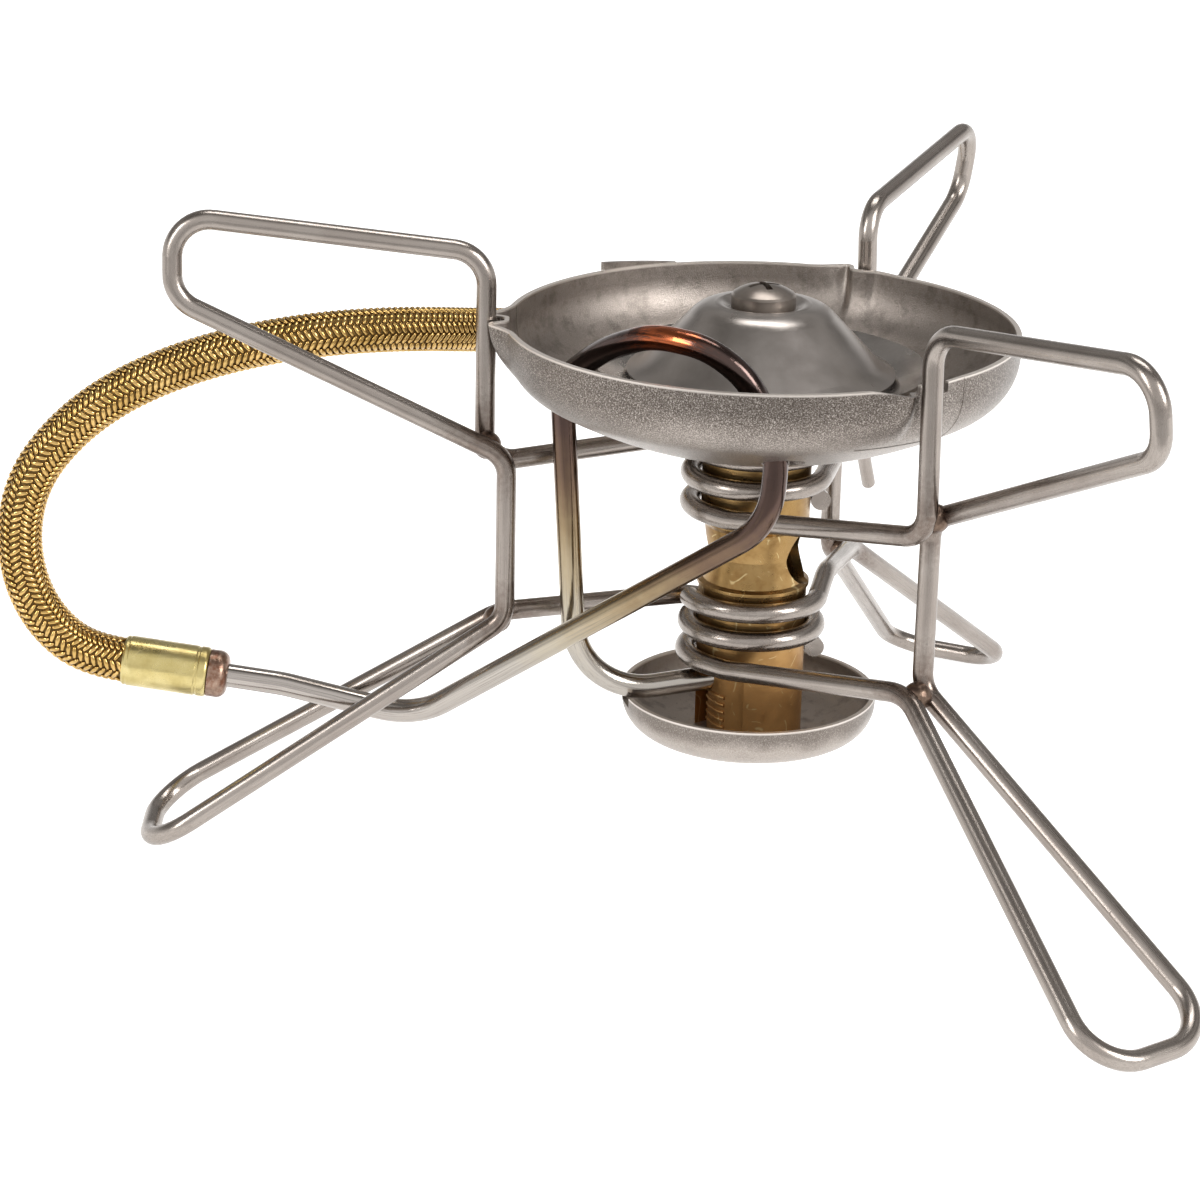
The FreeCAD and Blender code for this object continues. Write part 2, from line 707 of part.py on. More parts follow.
def hexagon(flats):
    reach = flats / math.sqrt(3.0)
    zero = flats * 0.0
    half = flats / 2.0
    return [(reach, zero), (reach / 2.0, half), (zero - reach / 2.0, half),
            (zero - reach, zero), (zero - reach / 2.0, zero - half), (reach / 2.0, zero - half)]


def nut_flats():
    return size("spigot_dia") + size("nut_wall") * 2.0


def build_hub_nut():
    base = drop(size("boss_drop") - size("bowl_sheet") - size("bell_sheet"))
    body = new_body("hub_nut")
    padded(body, "hub_nut_hex", base, size("nut_height"), hexagon(nut_flats()),
           [(0.0, 0.0, size("spigot_dia") / 2.0)])


def build_spider():
    """The three armed post inside the tube's mouth that carries the spreader's screw."""
    post = size("screw_dia") / 2.0 + 1.0
    bore = size("tube_bore") / 2.0
    base = drop(size("boss_drop"))
    top = size("rim_height") + size("seat_rise") - size("cone_sheet")
    hole = size("screw_dia") / 2.0
    zero = post * 0.0
    body = new_body("burner_spider")
    turned(body, [
        (zero, base), (post, base), (post, top), (hole, top),
        (hole, top - 12.6), (zero, top - 12.6),
    ])
    padded(body, "spider_ring", base, 3.0, None,
           [(0.0, 0.0, bore), (0.0, 0.0, bore - 1.0)])
    arm = padded(body, "spider_arm", base, 3.0, [
        (post - 0.6, zero - 0.8), (bore - 0.5, zero - 0.8),
        (bore - 0.5, zero + 0.8), (post - 0.6, zero + 0.8)])
    doc.recompute()
    round_the_axis(body, arm, 3)


def build_flame_ring(label, outer, height, ports):
    """A flame ring with ports cut down from its top edge."""
    base = drop(size("boss_drop") - size("bowl_sheet") - size("bell_sheet"))
    wall = size("ring_wall")
    body = new_body(label)
    padded(body, label + "_band", base, height, None,
           [(0.0, 0.0, outer), (0.0, 0.0, outer - wall)])
    port = pocketed(body, label + "_port", "XY_Plane", base + height, 3.0, [
        (outer - wall - 1.0, outer * 0.0 - 0.6), (outer + 1.0, outer * 0.0 - 0.6),
        (outer + 1.0, outer * 0.0 + 0.6), (outer - wall - 1.0, outer * 0.0 + 0.6)])
    round_the_axis(body, port, ports)


def build_spreader():
    """The flame spreader: dished seat for the screw, rounded crest, cone and flared foot."""
    rim = size("rim_height")
    seat = rim + size("seat_rise")
    crest = size("crest_dia") / 2.0
    edge = flange_radius() - size("foot_room")
    gauge = size("cone_sheet")
    flare = size("flare")
    hole = size("screw_dia") / 2.0 + 0.15
    head = size("head_dia") / 2.0
    turned(new_body("flame_spreader"), [
        (hole, seat),
        (head + 0.3, seat),
        (crest - 0.9, seat + 0.7, 1.6, 1),
        (crest + 0.3, seat + 0.7, 6.0, 1),
        (crest + 4.3, seat - 1.1),
        (edge - 0.6, seat - 9.34, 7.3, -1),
        (edge + flare, seat - 11.2),
        (edge + flare - 0.2, seat - 11.2 - gauge * 0.82, 7.3 + gauge.v, 1),
        (edge - 0.6 - gauge * 0.7, seat - 9.34 - gauge * 0.65),
        (crest + 4.3 - gauge, seat - 1.1 - gauge * 0.5, 5.3, -1),
        (crest + 0.3, seat + 0.7 - gauge),
        (crest - 0.9, seat + 0.7 - gauge),
        (head + 0.5, seat - gauge),
        (hole, seat - gauge),
    ])


def build_screw():
    """The domed clamp screw with a cross recess."""
    seat = size("rim_height") + size("seat_rise")
    shank = size("screw_dia") / 2.0
    head = size("head_dia") / 2.0
    band = size("head_band")
    dome = size("head_dome")
    ball = ((head - 0.35) * (head - 0.35) + (dome - 0.4) * (dome - 0.4)) / ((dome - 0.4) * 2.0)
    zero = shank * 0.0
    body = new_body("burner_screw")
    turned(body, [
        (zero, seat - 12.0),
        (shank - 0.4, seat - 12.0),
        (shank, seat - 11.5),
        (shank, seat),
        (head, seat),
        (head, seat + band),
        (head - 0.35, seat + band + 0.4, ball, -1),
        (zero, seat + band + dome),
    ])
    arm = head * 0.5
    half = zero + 0.55
    cross = [
        (arm, zero - half), (arm, half), (half, half), (half, arm), (zero - half, arm),
        (zero - half, half), (zero - arm, half), (zero - arm, zero - half),
        (zero - half, zero - half), (zero - half, zero - arm), (half, zero - arm),
        (half, zero - half),
    ]
    pocketed(body, "cross_recess", "XY_Plane", seat + band + dome, 1.5, cross)
    body.Placement = Placement(Vector(0, 0, 0), Rotation(Vector(0, 0, 1), 20.0))


# Jet parts


def port_level():
    return drop(size("port_drop"))


def block_top():
    return port_level() + size("line_dia") / 2.0 + 2.0


def build_jet_block():
    """The brass block in the tube's foot with the fuel port and the needle's cavity."""
    block = size("tube_bore") / 2.0
    cavity = size("cavity_dia") / 2.0
    plug = size("plug_dia") / 2.0
    floor = cup_floor()
    body = new_body("jet_block")
    turned(body, [
        (size("line_bore") / 2.0 + 0.7, block_top()),
        (block, block_top()),
        (block, floor),
        (plug, floor),
        (plug, floor + 2.2),
        (cavity, floor + 2.2),
        (cavity, block_top() - 1.7),
        (size("line_bore") / 2.0 + 0.7, block_top() - 1.7),
    ])
    doc.recompute()
    before = body.Shape.Volume
    sketch = sketch_on(body, "fuel_port_outline", "YZ_Plane", Dim.wrap(-2.2))
    add_circle(sketch, 0.0, port_level(), size("line_dia") / 2.0)
    port = body.newObject("PartDesign::Pocket", "fuel_port")
    port.Profile = sketch
    port.setExpression("Length", (block + 1.0).text)
    doc.recompute()
    print("cut fuel_port removes %.2f mm3" % (before - body.Shape.Volume))
    body.Placement = Placement(
        Vector(0, 0, 0), Rotation(Vector(0, 0, 1), mm("port_azimuth") - 180.0))


def build_jet():
    top = block_top()
    shank = size("line_bore") / 2.0 + 0.7
    body = new_body("jet")
    turned(body, [
        (0.6, top - 1.7), (shank, top - 1.7), (shank, top), (shank + 1.2, top),
        (shank + 1.2, top + 2.0), (shank - 0.3, top + 2.0), (shank - 0.7, top + 4.6),
        (0.6, top + 4.6),
    ])


def build_needle():
    """The shaker needle: a loose weight with a wire that clears the jet when it is shaken."""
    weight = size("cavity_dia") / 2.0 - size("needle_clear")
    base = cup_floor() + 2.3
    zero = weight * 0.0
    body = new_body("shaker_needle")
    turned(body, [
        (zero, base), (weight, base), (weight, base + 4.6), (zero + 0.2, base + 5.6),
        (zero + 0.2, block_top() + 3.2), (zero, block_top() + 3.2),
    ])


def build_plug():
    """The slotted plug under the cup that closes the block and clamps the cup to the tube."""
    floor = cup_floor() - size("cup_sheet")
    shank = size("plug_dia") / 2.0
    head = size("plug_head") / 2.0
    zero = shank * 0.0
    body = new_body("jet_plug")
    turned(body, [
        (zero, floor - 1.7), (head - 0.8, floor - 1.7), (head, floor - 0.9), (head, floor),
        (shank, floor), (shank, cup_floor() + 2.2), (zero, cup_floor() + 2.2),
    ])
    half = zero + 0.6
    pocketed(body, "plug_slot", "XY_Plane", floor - 1.7, 0.8, [
        (zero - head, zero - half), (head, zero - half), (head, half), (zero - head, half)],
        reverse=True)


# Fuel line


def line_route():
    """Corner points of the fuel line from the jet block to the hose ferrule.

    It leaves the block, climbs through the bowl, arches over the flange as the preheat loop,
    drops through the bowl again and threads the fixed leg's foot on its way to the hose.
    """
    rim = mm("rim_height")
    arch = flange_radius().v + mm("line_dia") / 2.0 + mm("line_clear")
    port = rim - mm("port_drop")
    azimuth = mm("port_azimuth")
    top = rim + mm("seat_rise") + mm("line_dia") / 2.0
    points = [
        polar(3.0, azimuth, port),
        polar(arch - 0.2, azimuth, port - 2.9),
        polar(arch + 3.4, azimuth - 1.0, rim - 9.0),
        polar(arch + 0.1, 211.0, rim - 0.6),
        polar(arch + 0.8, 234.0, top - 0.6),
        polar(arch + 1.2, 252.0, top - 1.2),
        polar(arch + 0.8, 264.0, rim - 1.0),
        polar(arch + 0.4, 273.4, rim - 12.0),
        polar(arch + 1.9, 271.6, rim - 25.5),
        Vector(-59.1, -2.4, rim - 72.9),
        Vector(-82.6, -0.35, rim - 68.05),
    ]
    axis = unit(Vector(-15.4, 0.3, 2.0))
    end = points[-1] + axis * 10.0
    return points, end, axis


LINE_BENDS = [13.5, 9.0, 0.0, 0.0, 0.0, 0.0, 0.0, 12.0, 14.0, 30.0]


def even_bends(points, wanted):
    """The bend radii along a route; a wanted radius of zero takes the widest tangent arc."""
    radii = []
    for i in range(1, len(points) - 1):
        back = points[i - 1] - points[i]
        on = points[i + 1] - points[i]
        half_turn = (math.pi - back.getAngle(on)) / 2.0
        widest = 0.45 * min(back.Length, on.Length) / math.tan(half_turn)
        radii.append(wanted[i - 1] if wanted and wanted[i - 1] else widest)
    return radii


def bowl_crossings():
    """Where the fuel line passes the bowl's bottom on the left and at the front."""
    points, end, axis = line_route()
    level = mm("rim_height") - 14.5
    share = (level - points[1].z) / (points[2].z - points[1].z)
    left = points[1] + (points[2] - points[1]) * share
    level = mm("rim_height") - 16.0
    share = (level - points[7].z) / (points[8].z - points[7].z)
    front = points[7] + (points[8] - points[7]) * share
    return left, front


def build_fuel_line():
    points, end, axis = line_route()
    last = end + axis * (mm("dome_length") + mm("collar_length"))
    route = points + [last]
    edges = bent_edges(route, even_bends(route, LINE_BENDS))
    outer, length = round_bar(edges, mm("line_dia"))
    inner, length = round_bar(edges, mm("line_bore"))
    cable, length = round_bar(edges, mm("cable_dia"))
    new_solid("fuel_line", outer.cut(inner))
    new_solid("cleaning_cable", cable)
    print("fuel line length %.1f mm" % length)


def aimed(start, axis):
    """A placement that turns +Z to the axis and moves the origin to the start."""
    return Placement(start, Rotation(Vector(0, 0, 1), axis))


def build_end_fitting(prefix, start, axis, bore):
    """A brazed collar with a dome towards the tube and a crimped sleeve towards the hose."""
    ferrule = size("ferrule_dia") / 2.0
    dome = size("dome_length")
    collar = size("collar_length")
    hole = bore / 2.0
    zero = ferrule * 0.0
    body = new_body(prefix + "_collar")
    reach = ferrule - 0.25 - (hole + 0.3)
    ball = (reach * reach + dome * dome) / (dome * 2.0)
    turned(body, [
        (hole, zero),
        (hole + 0.3, zero, ball, -1),
        (ferrule - 0.25, dome),
        (ferrule - 0.25, dome + collar),
        (hole, dome + collar),
    ])
    body.Placement = aimed(start, axis)
    length = size("ferrule_length")
    bore_through = size("line_bore") / 2.0
    sleeve = new_body(prefix + "_ferrule")
    turned(sleeve, [
        (bore_through, zero),
        (ferrule - 0.8, zero, 0.82, -1),
        (ferrule, zero + 0.8),
        (ferrule, zero + 1.7),
        (ferrule - 0.14, zero + 1.9),
        (ferrule - 0.14, zero + 2.2),
        (ferrule, zero + 2.4),
        (ferrule, length - 1.0),
        (ferrule - 0.12, length - 0.8),
        (ferrule - 0.05, length - 0.35),
        (ferrule - 0.3, length),
        (bore_through, length),
    ])
    sleeve.Placement = aimed(start + axis * (dome.v + collar.v), axis)
    return start + axis * (dome.v + collar.v + length.v)


HOSE_ROUTE = [
    (-111.0, 0.2, 31.6), (-117.5, 0.3, 32.5), (-124.2, 0.8, 37.6), (-128.4, 1.6, 45.2),
    (-129.6, 2.6, 54.6), (-127.3, 3.6, 64.2), (-120.9, 5.0, 72.4), (-112.3, 6.2, 79.0),
    (-101.5, 7.8, 83.9), (-88.5, 9.6, 87.5), (-74.8, 12.6, 89.2), (-62.2, 18.6, 88.6),
    (-51.5, 28.5, 86.0), (-43.0, 42.0, 82.5), (-35.0, 58.5, 79.0), (-26.0, 77.0, 75.6),
    (-15.5, 99.5, 71.8), (-5.0, 122.0, 67.6), (5.0, 141.5, 63.4), (13.8, 157.0, 61.0),
    (20.6, 165.9, 57.6), (24.9, 174.5, 51.7), (26.5, 179.7, 44.6),
]


def hose_points(start):
    """The hose route, shifted to begin at the ferrule and fading to its own far end."""
    nominal = [Vector(*p) for p in HOSE_ROUTE]
    shift = start - nominal[0]
    count = len(nominal) - 1
    return [p + shift * ((1.0 - i / count) ** 2) for i, p in enumerate(nominal)]


def build_hose():
    route, end, axis = line_route()
    start = build_end_fitting("stove", end, axis, size("line_dia"))
    points = hose_points(start)
    points[1] = start + axis * (points[1] - start).Length
    radii = even_bends(points, None)
    hose, length = round_bar(bent_edges(points, radii), mm("hose_dia"))
    new_solid("fuel_hose", hose)
    print("hose length %.1f mm, radii %s" % (length, " ".join("%.0f" % r for r in radii)))
    print("hose start %.2f %.2f %.2f" % tuple(start))
    far = unit(points[-1] - points[-2])
    fitting = mm("dome_length") + mm("collar_length") + mm("ferrule_length")
    tube_start = points[-1] + far * fitting
    build_end_fitting("pump", tube_start, far * -1.0, size("far_spigot_dia"))
    inner = mm("dome_length") + mm("collar_length")
    base = tube_start - far * inner
    long = mm("far_tube_length")
    tube = Part.makeCylinder(mm("far_tube_dia") / 2.0, long, tube_start, far)
    tip = tube_start + far * long
    tube = tube.makeFillet(0.5, [
        e for e in tube.Edges if (e.CenterOfMass - tip).Length < 1e-3])
    spigot = Part.makeCylinder(mm("far_spigot_dia") / 2.0, inner, base, far)
    bore = Part.makeCylinder(mm("far_spigot_dia") / 2.0 - 0.4, long + inner + 2.0, base - far, far)
    new_solid("pump_tube", tube.fuse(spigot).cut(bore))
    print("pump tube from %s along %s" % (tube_start, far))


build_mixer_tube()
build_cup()
build_bowl()
build_bell()
build_hub_nut()
build_spider()
build_flame_ring("flame_ring_outer", size("ring_outer_dia") / 2.0, Dim.wrap(13.4), 24)
build_flame_ring(
    "flame_ring_inner", nut_flats() / math.sqrt(3.0) + size("ring_gap") + size("ring_wall"),
    Dim.wrap(15.6), 16)
build_spreader()
build_screw()
build_jet_block()
build_jet()
build_needle()
build_plug()
build_fuel_line()
build_hose()
build_leg("fixed", mm("az_fixed"), (0, 1), (mm("wrap_fixed"), mm("low_wrap_fixed")),
          0.0, mm("arm_dip"), mm("arm_rise"), 0.0, 0.4, 1.8)
build_leg("back", mm("az_back"), (1, 0), (mm("wrap_back"), mm("low_wrap_back")),
          mm("hinge_clear"), 0.0, mm("arm_rise"), mm("lean_back"), 1.2, 0.8)
build_leg("front", mm("az_front"), (2, 2), (mm("wrap_front"), mm("wrap_front")),
          mm("hinge_clear"), 0.0, 0.0, -mm("lean_front"), 2.5, 0.0)

doc.recompute()
for item in doc.Objects:
    if "Invalid" in item.State or "Error" in item.State:
        raise RuntimeError("%s is %s" % (item.Label, item.State))
for item in SUBPARTS:
    shape = item.Shape
    if shape.isNull() or not shape.isValid() or shape.Volume <= 0.0:
        raise RuntimeError("bad shape: " + item.Label)
    print("%-22s solids %d volume %9.2f" % (item.Label, len(shape.Solids), shape.Volume))
for item in SUBPARTS:
    item.Shape.exportStep("parts/%s.step" % item.Label)
print("wrote %d sub-parts" % len(SUBPARTS))
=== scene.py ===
# %% [markdown]
# # A liquid fuel camping stove
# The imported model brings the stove's solid parts in their real place. This notebook adds the
# camera, the metals, the braid of the fuel hose, the thread in the tube's slot and the light.

import json
import math

import bpy
from mathutils import Matrix, Vector


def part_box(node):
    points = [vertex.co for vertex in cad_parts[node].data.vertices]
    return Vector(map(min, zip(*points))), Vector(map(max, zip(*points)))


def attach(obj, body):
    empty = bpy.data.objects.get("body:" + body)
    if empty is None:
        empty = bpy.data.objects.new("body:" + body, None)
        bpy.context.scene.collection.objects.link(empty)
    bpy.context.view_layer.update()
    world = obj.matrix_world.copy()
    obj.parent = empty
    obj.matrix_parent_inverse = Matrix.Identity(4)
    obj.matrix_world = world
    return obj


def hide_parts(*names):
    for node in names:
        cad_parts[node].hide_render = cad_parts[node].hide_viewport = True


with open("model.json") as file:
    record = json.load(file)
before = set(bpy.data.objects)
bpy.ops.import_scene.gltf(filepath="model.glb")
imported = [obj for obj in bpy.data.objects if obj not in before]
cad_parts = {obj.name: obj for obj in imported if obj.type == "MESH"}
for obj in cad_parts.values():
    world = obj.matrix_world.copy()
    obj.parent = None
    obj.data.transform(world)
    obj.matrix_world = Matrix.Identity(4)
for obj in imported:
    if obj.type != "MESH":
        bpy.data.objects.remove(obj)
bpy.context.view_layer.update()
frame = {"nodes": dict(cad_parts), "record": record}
MM = 0.001
nodes = frame["nodes"]

# %% [markdown]
# The camera comes first, because every later choice is judged through it. The view was worked
# out from the ellipses of the bowl and the cup: a long lens 62 cm away, which looks down by about
# 19 degrees and is rolled by a little over one.

# %% Camera
RIM_HEIGHT = 96.0 * MM
LENS_PIXELS = 3516.64
IMAGE_PIXELS = 1200.0
SENSOR_MM = 36.0
CAMERA_TARGET = Vector((-26.76 * MM, 0.0, RIM_HEIGHT - 50.98 * MM))
CAMERA_DISTANCE = 620.0 * MM
CAMERA_ELEVATION = math.radians(19.45)
CAMERA_ROLL = math.radians(1.36)


def in_scene(name, data):
    """A new object at the origin, unturned and unscaled, linked to the scene."""
    thing = bpy.data.objects.new(name, data)
    bpy.context.scene.collection.objects.link(thing)
    return thing


camera_data = bpy.data.cameras.new("camera")
camera_data.lens = LENS_PIXELS / IMAGE_PIXELS * SENSOR_MM
camera_data.sensor_width = SENSOR_MM
camera_data.clip_start = 0.05
camera = in_scene("camera", camera_data)
ahead = Vector((0.0, math.cos(CAMERA_ELEVATION), -math.sin(CAMERA_ELEVATION)))
camera.matrix_world = (
    Matrix.Translation(CAMERA_TARGET - ahead * CAMERA_DISTANCE)
    @ Matrix.Rotation(math.pi / 2.0 - CAMERA_ELEVATION, 4, "X")
    @ Matrix.Rotation(CAMERA_ROLL, 4, "Z")
)
bpy.context.scene.camera = camera
print("lens", round(camera_data.lens, 2), "mm")

# %% [markdown]
# Every tree of nodes, for a material or for geometry, is written with one helper. It adds a
# node, sets its settings, fills its sockets and gives back one of its outputs, which the next
# node takes. A number is copied in, a socket is linked, and a colour is the hex value that a
# picture shows, turned to linear light on its way in.

# %% Helper: one node
def linear(hex_text):
    """A colour as a picture shows it, turned to linear light."""
    parts = [int(hex_text[i:i + 2], 16) / 255.0 for i in (1, 3, 5)]
    light = [c / 12.92 if c <= 0.04045 else ((c + 0.055) / 1.055) ** 2.4 for c in parts]
    return (*light, 1.0)


def fill_ramp(ramp, stops):
    """Puts stops of position and colour on a ramp, which has its first and last already."""
    for element, (position, shade) in zip(ramp.elements, (stops[0], stops[-1])):
        element.position, element.color = position, linear(shade)
    for position, shade in stops[1:-1]:
        ramp.elements.new(position).color = linear(shade)


def fill(tree, node, sockets):
    """Links what is a socket, turns a hex text to linear light and copies the rest."""
    for key, value in sockets.items():
        socket = node.inputs[key]
        if isinstance(value, bpy.types.NodeSocket):
            tree.links.new(value, socket)
        else:
            socket.default_value = linear(value) if isinstance(value, str) else value


def add(tree, kind, sockets=None, out=0, stops=None, **settings):
    """Adds a node with its settings and links, and gives back one of its outputs."""
    node = tree.nodes.new(kind)
    for name, value in settings.items():
        setattr(node, name, value)
    if stops:
        fill_ramp(node.color_ramp, stops)
    fill(tree, node, sockets or {})
    return node.outputs[out] if len(node.outputs) else None


print("white is", linear("#ffffff"))

# %% [markdown]
# A metal here is one shader plus a few patterns in millimetres: clouds, streaks, nicks, grain.
# Two steps come back in most metals, so they are helpers. One lays a second colour over the
# first where a pattern is strong. The other shifts a distance by a pattern, so that an edge comes
# out ragged. The numbers that go with a pattern are its own values: noise lies mostly between
# 0.3 and 0.7.

# %% Helpers: what a pattern does to a metal
def new_metal(name, roughness):
    """An empty metal: the material, its tree, its shader and the object's own coordinates."""
    material = bpy.data.materials.new(name)
    material.use_nodes = True
    tree = material.node_tree
    shader = tree.nodes["Principled BSDF"]
    fill(tree, shader, {"Metallic": 1.0, "Roughness": roughness})
    return material, tree, shader, add(tree, "ShaderNodeTexCoord", out="Object")


def per_metre(feature_mm):
    """How many features of a width in millimetres lie side by side in a metre."""
    return 1.0 / (feature_mm * MM)


def laid_over(tree, colour, over, pattern, low, high, share=1.0):
    """Lays a second colour over a first one where a pattern runs from low to high."""
    where = add(tree, "ShaderNodeMapRange", {
        "Value": pattern, "From Min": low, "From Max": high, "To Max": share})
    return add(tree, "ShaderNodeMix", {0: where, 6: colour, 7: over}, out=2, data_type="RGBA")


def shifted(tree, value, pattern, low, high, least, most):
    """Adds between least and most to a value, as a pattern runs from low to high."""
    extra = add(tree, "ShaderNodeMapRange", {
        "Value": pattern, "From Min": low, "From Max": high, "To Min": least, "To Max": most})
    return add(tree, "ShaderNodeMath", {0: value, 1: extra}, operation="ADD")


print("a 2 mm feature fits", round(per_metre(2.0)), "times in a metre")

# %% [markdown]
# ## Drawn stainless wire
# The legs are spring wire pulled through a die and bent cold. Drawing leaves a satin skin with
# fine lines along the wire. A texture laid along each bend would need a map of the wire. The
# surface normal does it more simply: it turns fast across a round bar and slowly along it, so a
# noise that is looked up by the normal draws lines that run lengthwise, however the wire bends.
# A die's own lines are finer than the picture can show, so about seventy are drawn round a bar.

# %% Pattern: lines along a wire
LINES_TO_THE_NORMAL = 11.0


def drawn_lines(tree, place, length_mm=8.0):
    """Streaks of about a length in millimetres that run along a wire."""
    way = add(tree, "ShaderNodeTexCoord", out="Normal")
    across = add(tree, "ShaderNodeVectorMath", {
        0: way, "Scale": LINES_TO_THE_NORMAL}, operation="SCALE")
    along = add(tree, "ShaderNodeVectorMath", {
        0: place, "Scale": per_metre(length_mm)}, operation="SCALE")
    where = add(tree, "ShaderNodeVectorMath", {0: across, 1: along}, operation="ADD")
    return add(tree, "ShaderNodeTexNoise", {
        "Vector": where, "Scale": 1.0, "Detail": 4.0, "Roughness": 0.65})


print("lines round a wire", round(2.0 * math.pi * LINES_TO_THE_NORMAL))

# %% [markdown]
# Handling leaves small nicks, and brazing leaves a brown heat tint that fades over about a
# centimetre. The tint is driven by the distance to the nearest of the six braze beads.

# %% Material: drawn stainless wire
bead_places = []
for bead_name in sorted(name for name in nodes if name.startswith("braze_")):
    low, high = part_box(bead_name)
    bead_places.append((low + high) / 2.0)


def nearest(tree, place, points):
    """The distance to the nearest of some points."""
    best = None
    for point in points:
        away = add(tree, "ShaderNodeVectorMath", {
            0: place, 1: point}, out="Value", operation="DISTANCE")
        if best is None:
            best = away
        else:
            best = add(tree, "ShaderNodeMath", {0: best, 1: away}, operation="MINIMUM")
    return best


def drawn_wire():
    """Satin steel whose reflections break up into fine lines, brown around the beads."""
    material, tree, shader, place = new_metal("stainless_wire_drawn", 0.24)
    clouds = add(tree, "ShaderNodeTexNoise", {
        "Vector": place, "Scale": per_metre(16.0), "Detail": 3.0, "Roughness": 0.6})
    nicks = add(tree, "ShaderNodeTexNoise", {
        "Vector": place, "Scale": per_metre(1.0), "Detail": 6.0, "Roughness": 0.6})
    streaks = drawn_lines(tree, place)
    colour = laid_over(tree, "#938a83", "#a39b94", clouds, 0.35, 0.65)
    colour = laid_over(tree, colour, "#756d67", streaks, 0.42, 0.68, 0.4)
    colour = laid_over(tree, colour, "#5a524c", nicks, 0.66, 0.80, 0.6)
    away = nearest(tree, place, bead_places)
    away = shifted(tree, away, nicks, 0.3, 0.7, 0.0, 5.0 * MM)
    colour = laid_over(tree, colour, "#554338", away, 13.0 * MM, 4.0 * MM, 0.7)
    rough = add(tree, "ShaderNodeMapRange", {
        "Value": streaks, "From Min": 0.3, "From Max": 0.7, "To Min": 0.22, "To Max": 0.33})
    dents = add(tree, "ShaderNodeMapRange", {"Value": nicks, "From Min": 0.62, "From Max": 0.8})
    skin = add(tree, "ShaderNodeBump", {"Height": streaks, "Distance": 0.0012 * MM})
    skin = add(tree, "ShaderNodeBump", {
        "Height": dents, "Distance": 0.012 * MM, "Normal": skin})
    fill(tree, shader, {"Base Color": colour, "Roughness": rough, "Normal": skin})
    return material


wire_steel = drawn_wire()
print("beads that tint the wire", len(bead_places))

# %% [markdown]
# ## Stamped stainless bowl
# The bowl is pressed from sheet. Its outside is stretched most under the rim, where the steel
# turns coarse and is painted dark as painted shade, with painted glints on its grain, and its
# inside keeps a smoother skin, soiled in patches by use. The rim's edge carries a painted
# highlight. One material can tell the sides apart, so the bowl needs no second piece: a face
# whose normal points away from the axis more than it points up belongs to the outside.

# %% Where a sheet's face is
def faces_outside(tree, place):
    """1 on the outside of a bowl round the Z axis, 0 on its inside."""
    way = add(tree, "ShaderNodeTexCoord", out="Normal")
    level = add(tree, "ShaderNodeVectorMath", {
        0: place, 1: (1.0, 1.0, 0.0)}, operation="MULTIPLY")
    radial = add(tree, "ShaderNodeVectorMath", {0: level}, operation="NORMALIZE")
    outward = add(tree, "ShaderNodeVectorMath", {
        0: radial, 1: way}, out="Value", operation="DOT_PRODUCT")
    upward = add(tree, "ShaderNodeSeparateXYZ", {0: way}, out="Z")
    facing = add(tree, "ShaderNodeMath", {0: outward, 1: upward}, operation="SUBTRACT")
    return add(tree, "ShaderNodeMapRange", {
        "Value": facing, "From Min": -0.1, "From Max": 0.1})


cup_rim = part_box("priming_cup")[1].z
print("cup rim at", round(cup_rim / MM, 2), "mm")

# %% [markdown]
# The tone of the sheet goes by the depth under the rim, and it is painted light and shade. The
# outside has a band of painted shade on top and is painted pale below it as painted light; the
# inside of the bowl is painted darker downwards as painted shade, and that of the cup is painted
# paler as painted light. Clouds break this up, and so do patches of soil from use, most of them
# on the inside.

# %% Pattern: the tone and painted shade of pressed sheet
def pressed_tone_and_painted_shade(tree, place, clouds, outside, depth, band, painted_deep_inside_hex):
    """Clouded steel with painted shade and light by its depth under the rim, and patches of soil.
    """
    mottle = add(tree, "ShaderNodeTexNoise", {
        "Vector": place, "Scale": per_metre(3.5), "Detail": 6.0, "Roughness": 0.6})
    colour = laid_over(tree, "#90877f", "#a69d95", clouds, 0.3, 0.7)
    # Painted shade: dark under the rim outside; painted light: pale further down.
    outer_painted_shading = laid_over(tree, "#69625c", "#c9c0b8", depth, *band)
    # Painted shade deep in the bowl, painted light deep in the cup.
    inner_painted_shading = laid_over(tree, "#958d86", painted_deep_inside_hex, depth, *band)
    tone = add(tree, "ShaderNodeMix", {0: outside, 6: inner_painted_shading, 7: outer_painted_shading}, out=2, data_type="RGBA")
    colour = add(tree, "ShaderNodeMix", {0: 0.5, 6: colour, 7: tone}, out=2, data_type="RGBA")
    soil = add(tree, "ShaderNodeMapRange", {"Value": outside, "To Min": 0.5, "To Max": 0.15})
    return laid_over(tree, colour, "#5b534d", mottle, 0.48, 0.66, soil)


# %% [markdown]
# Stretched sheet shows its grain like orange peel. Real grain is a few hundredths of a
# millimetre wide, too fine for the picture, so it is drawn 0.21 mm wide, which just shows. Its
# bright grains are painted glints.

# %% Pattern: the grain with painted glints, and the painted rim highlight of pressed sheet
GRAIN_MM = 0.21


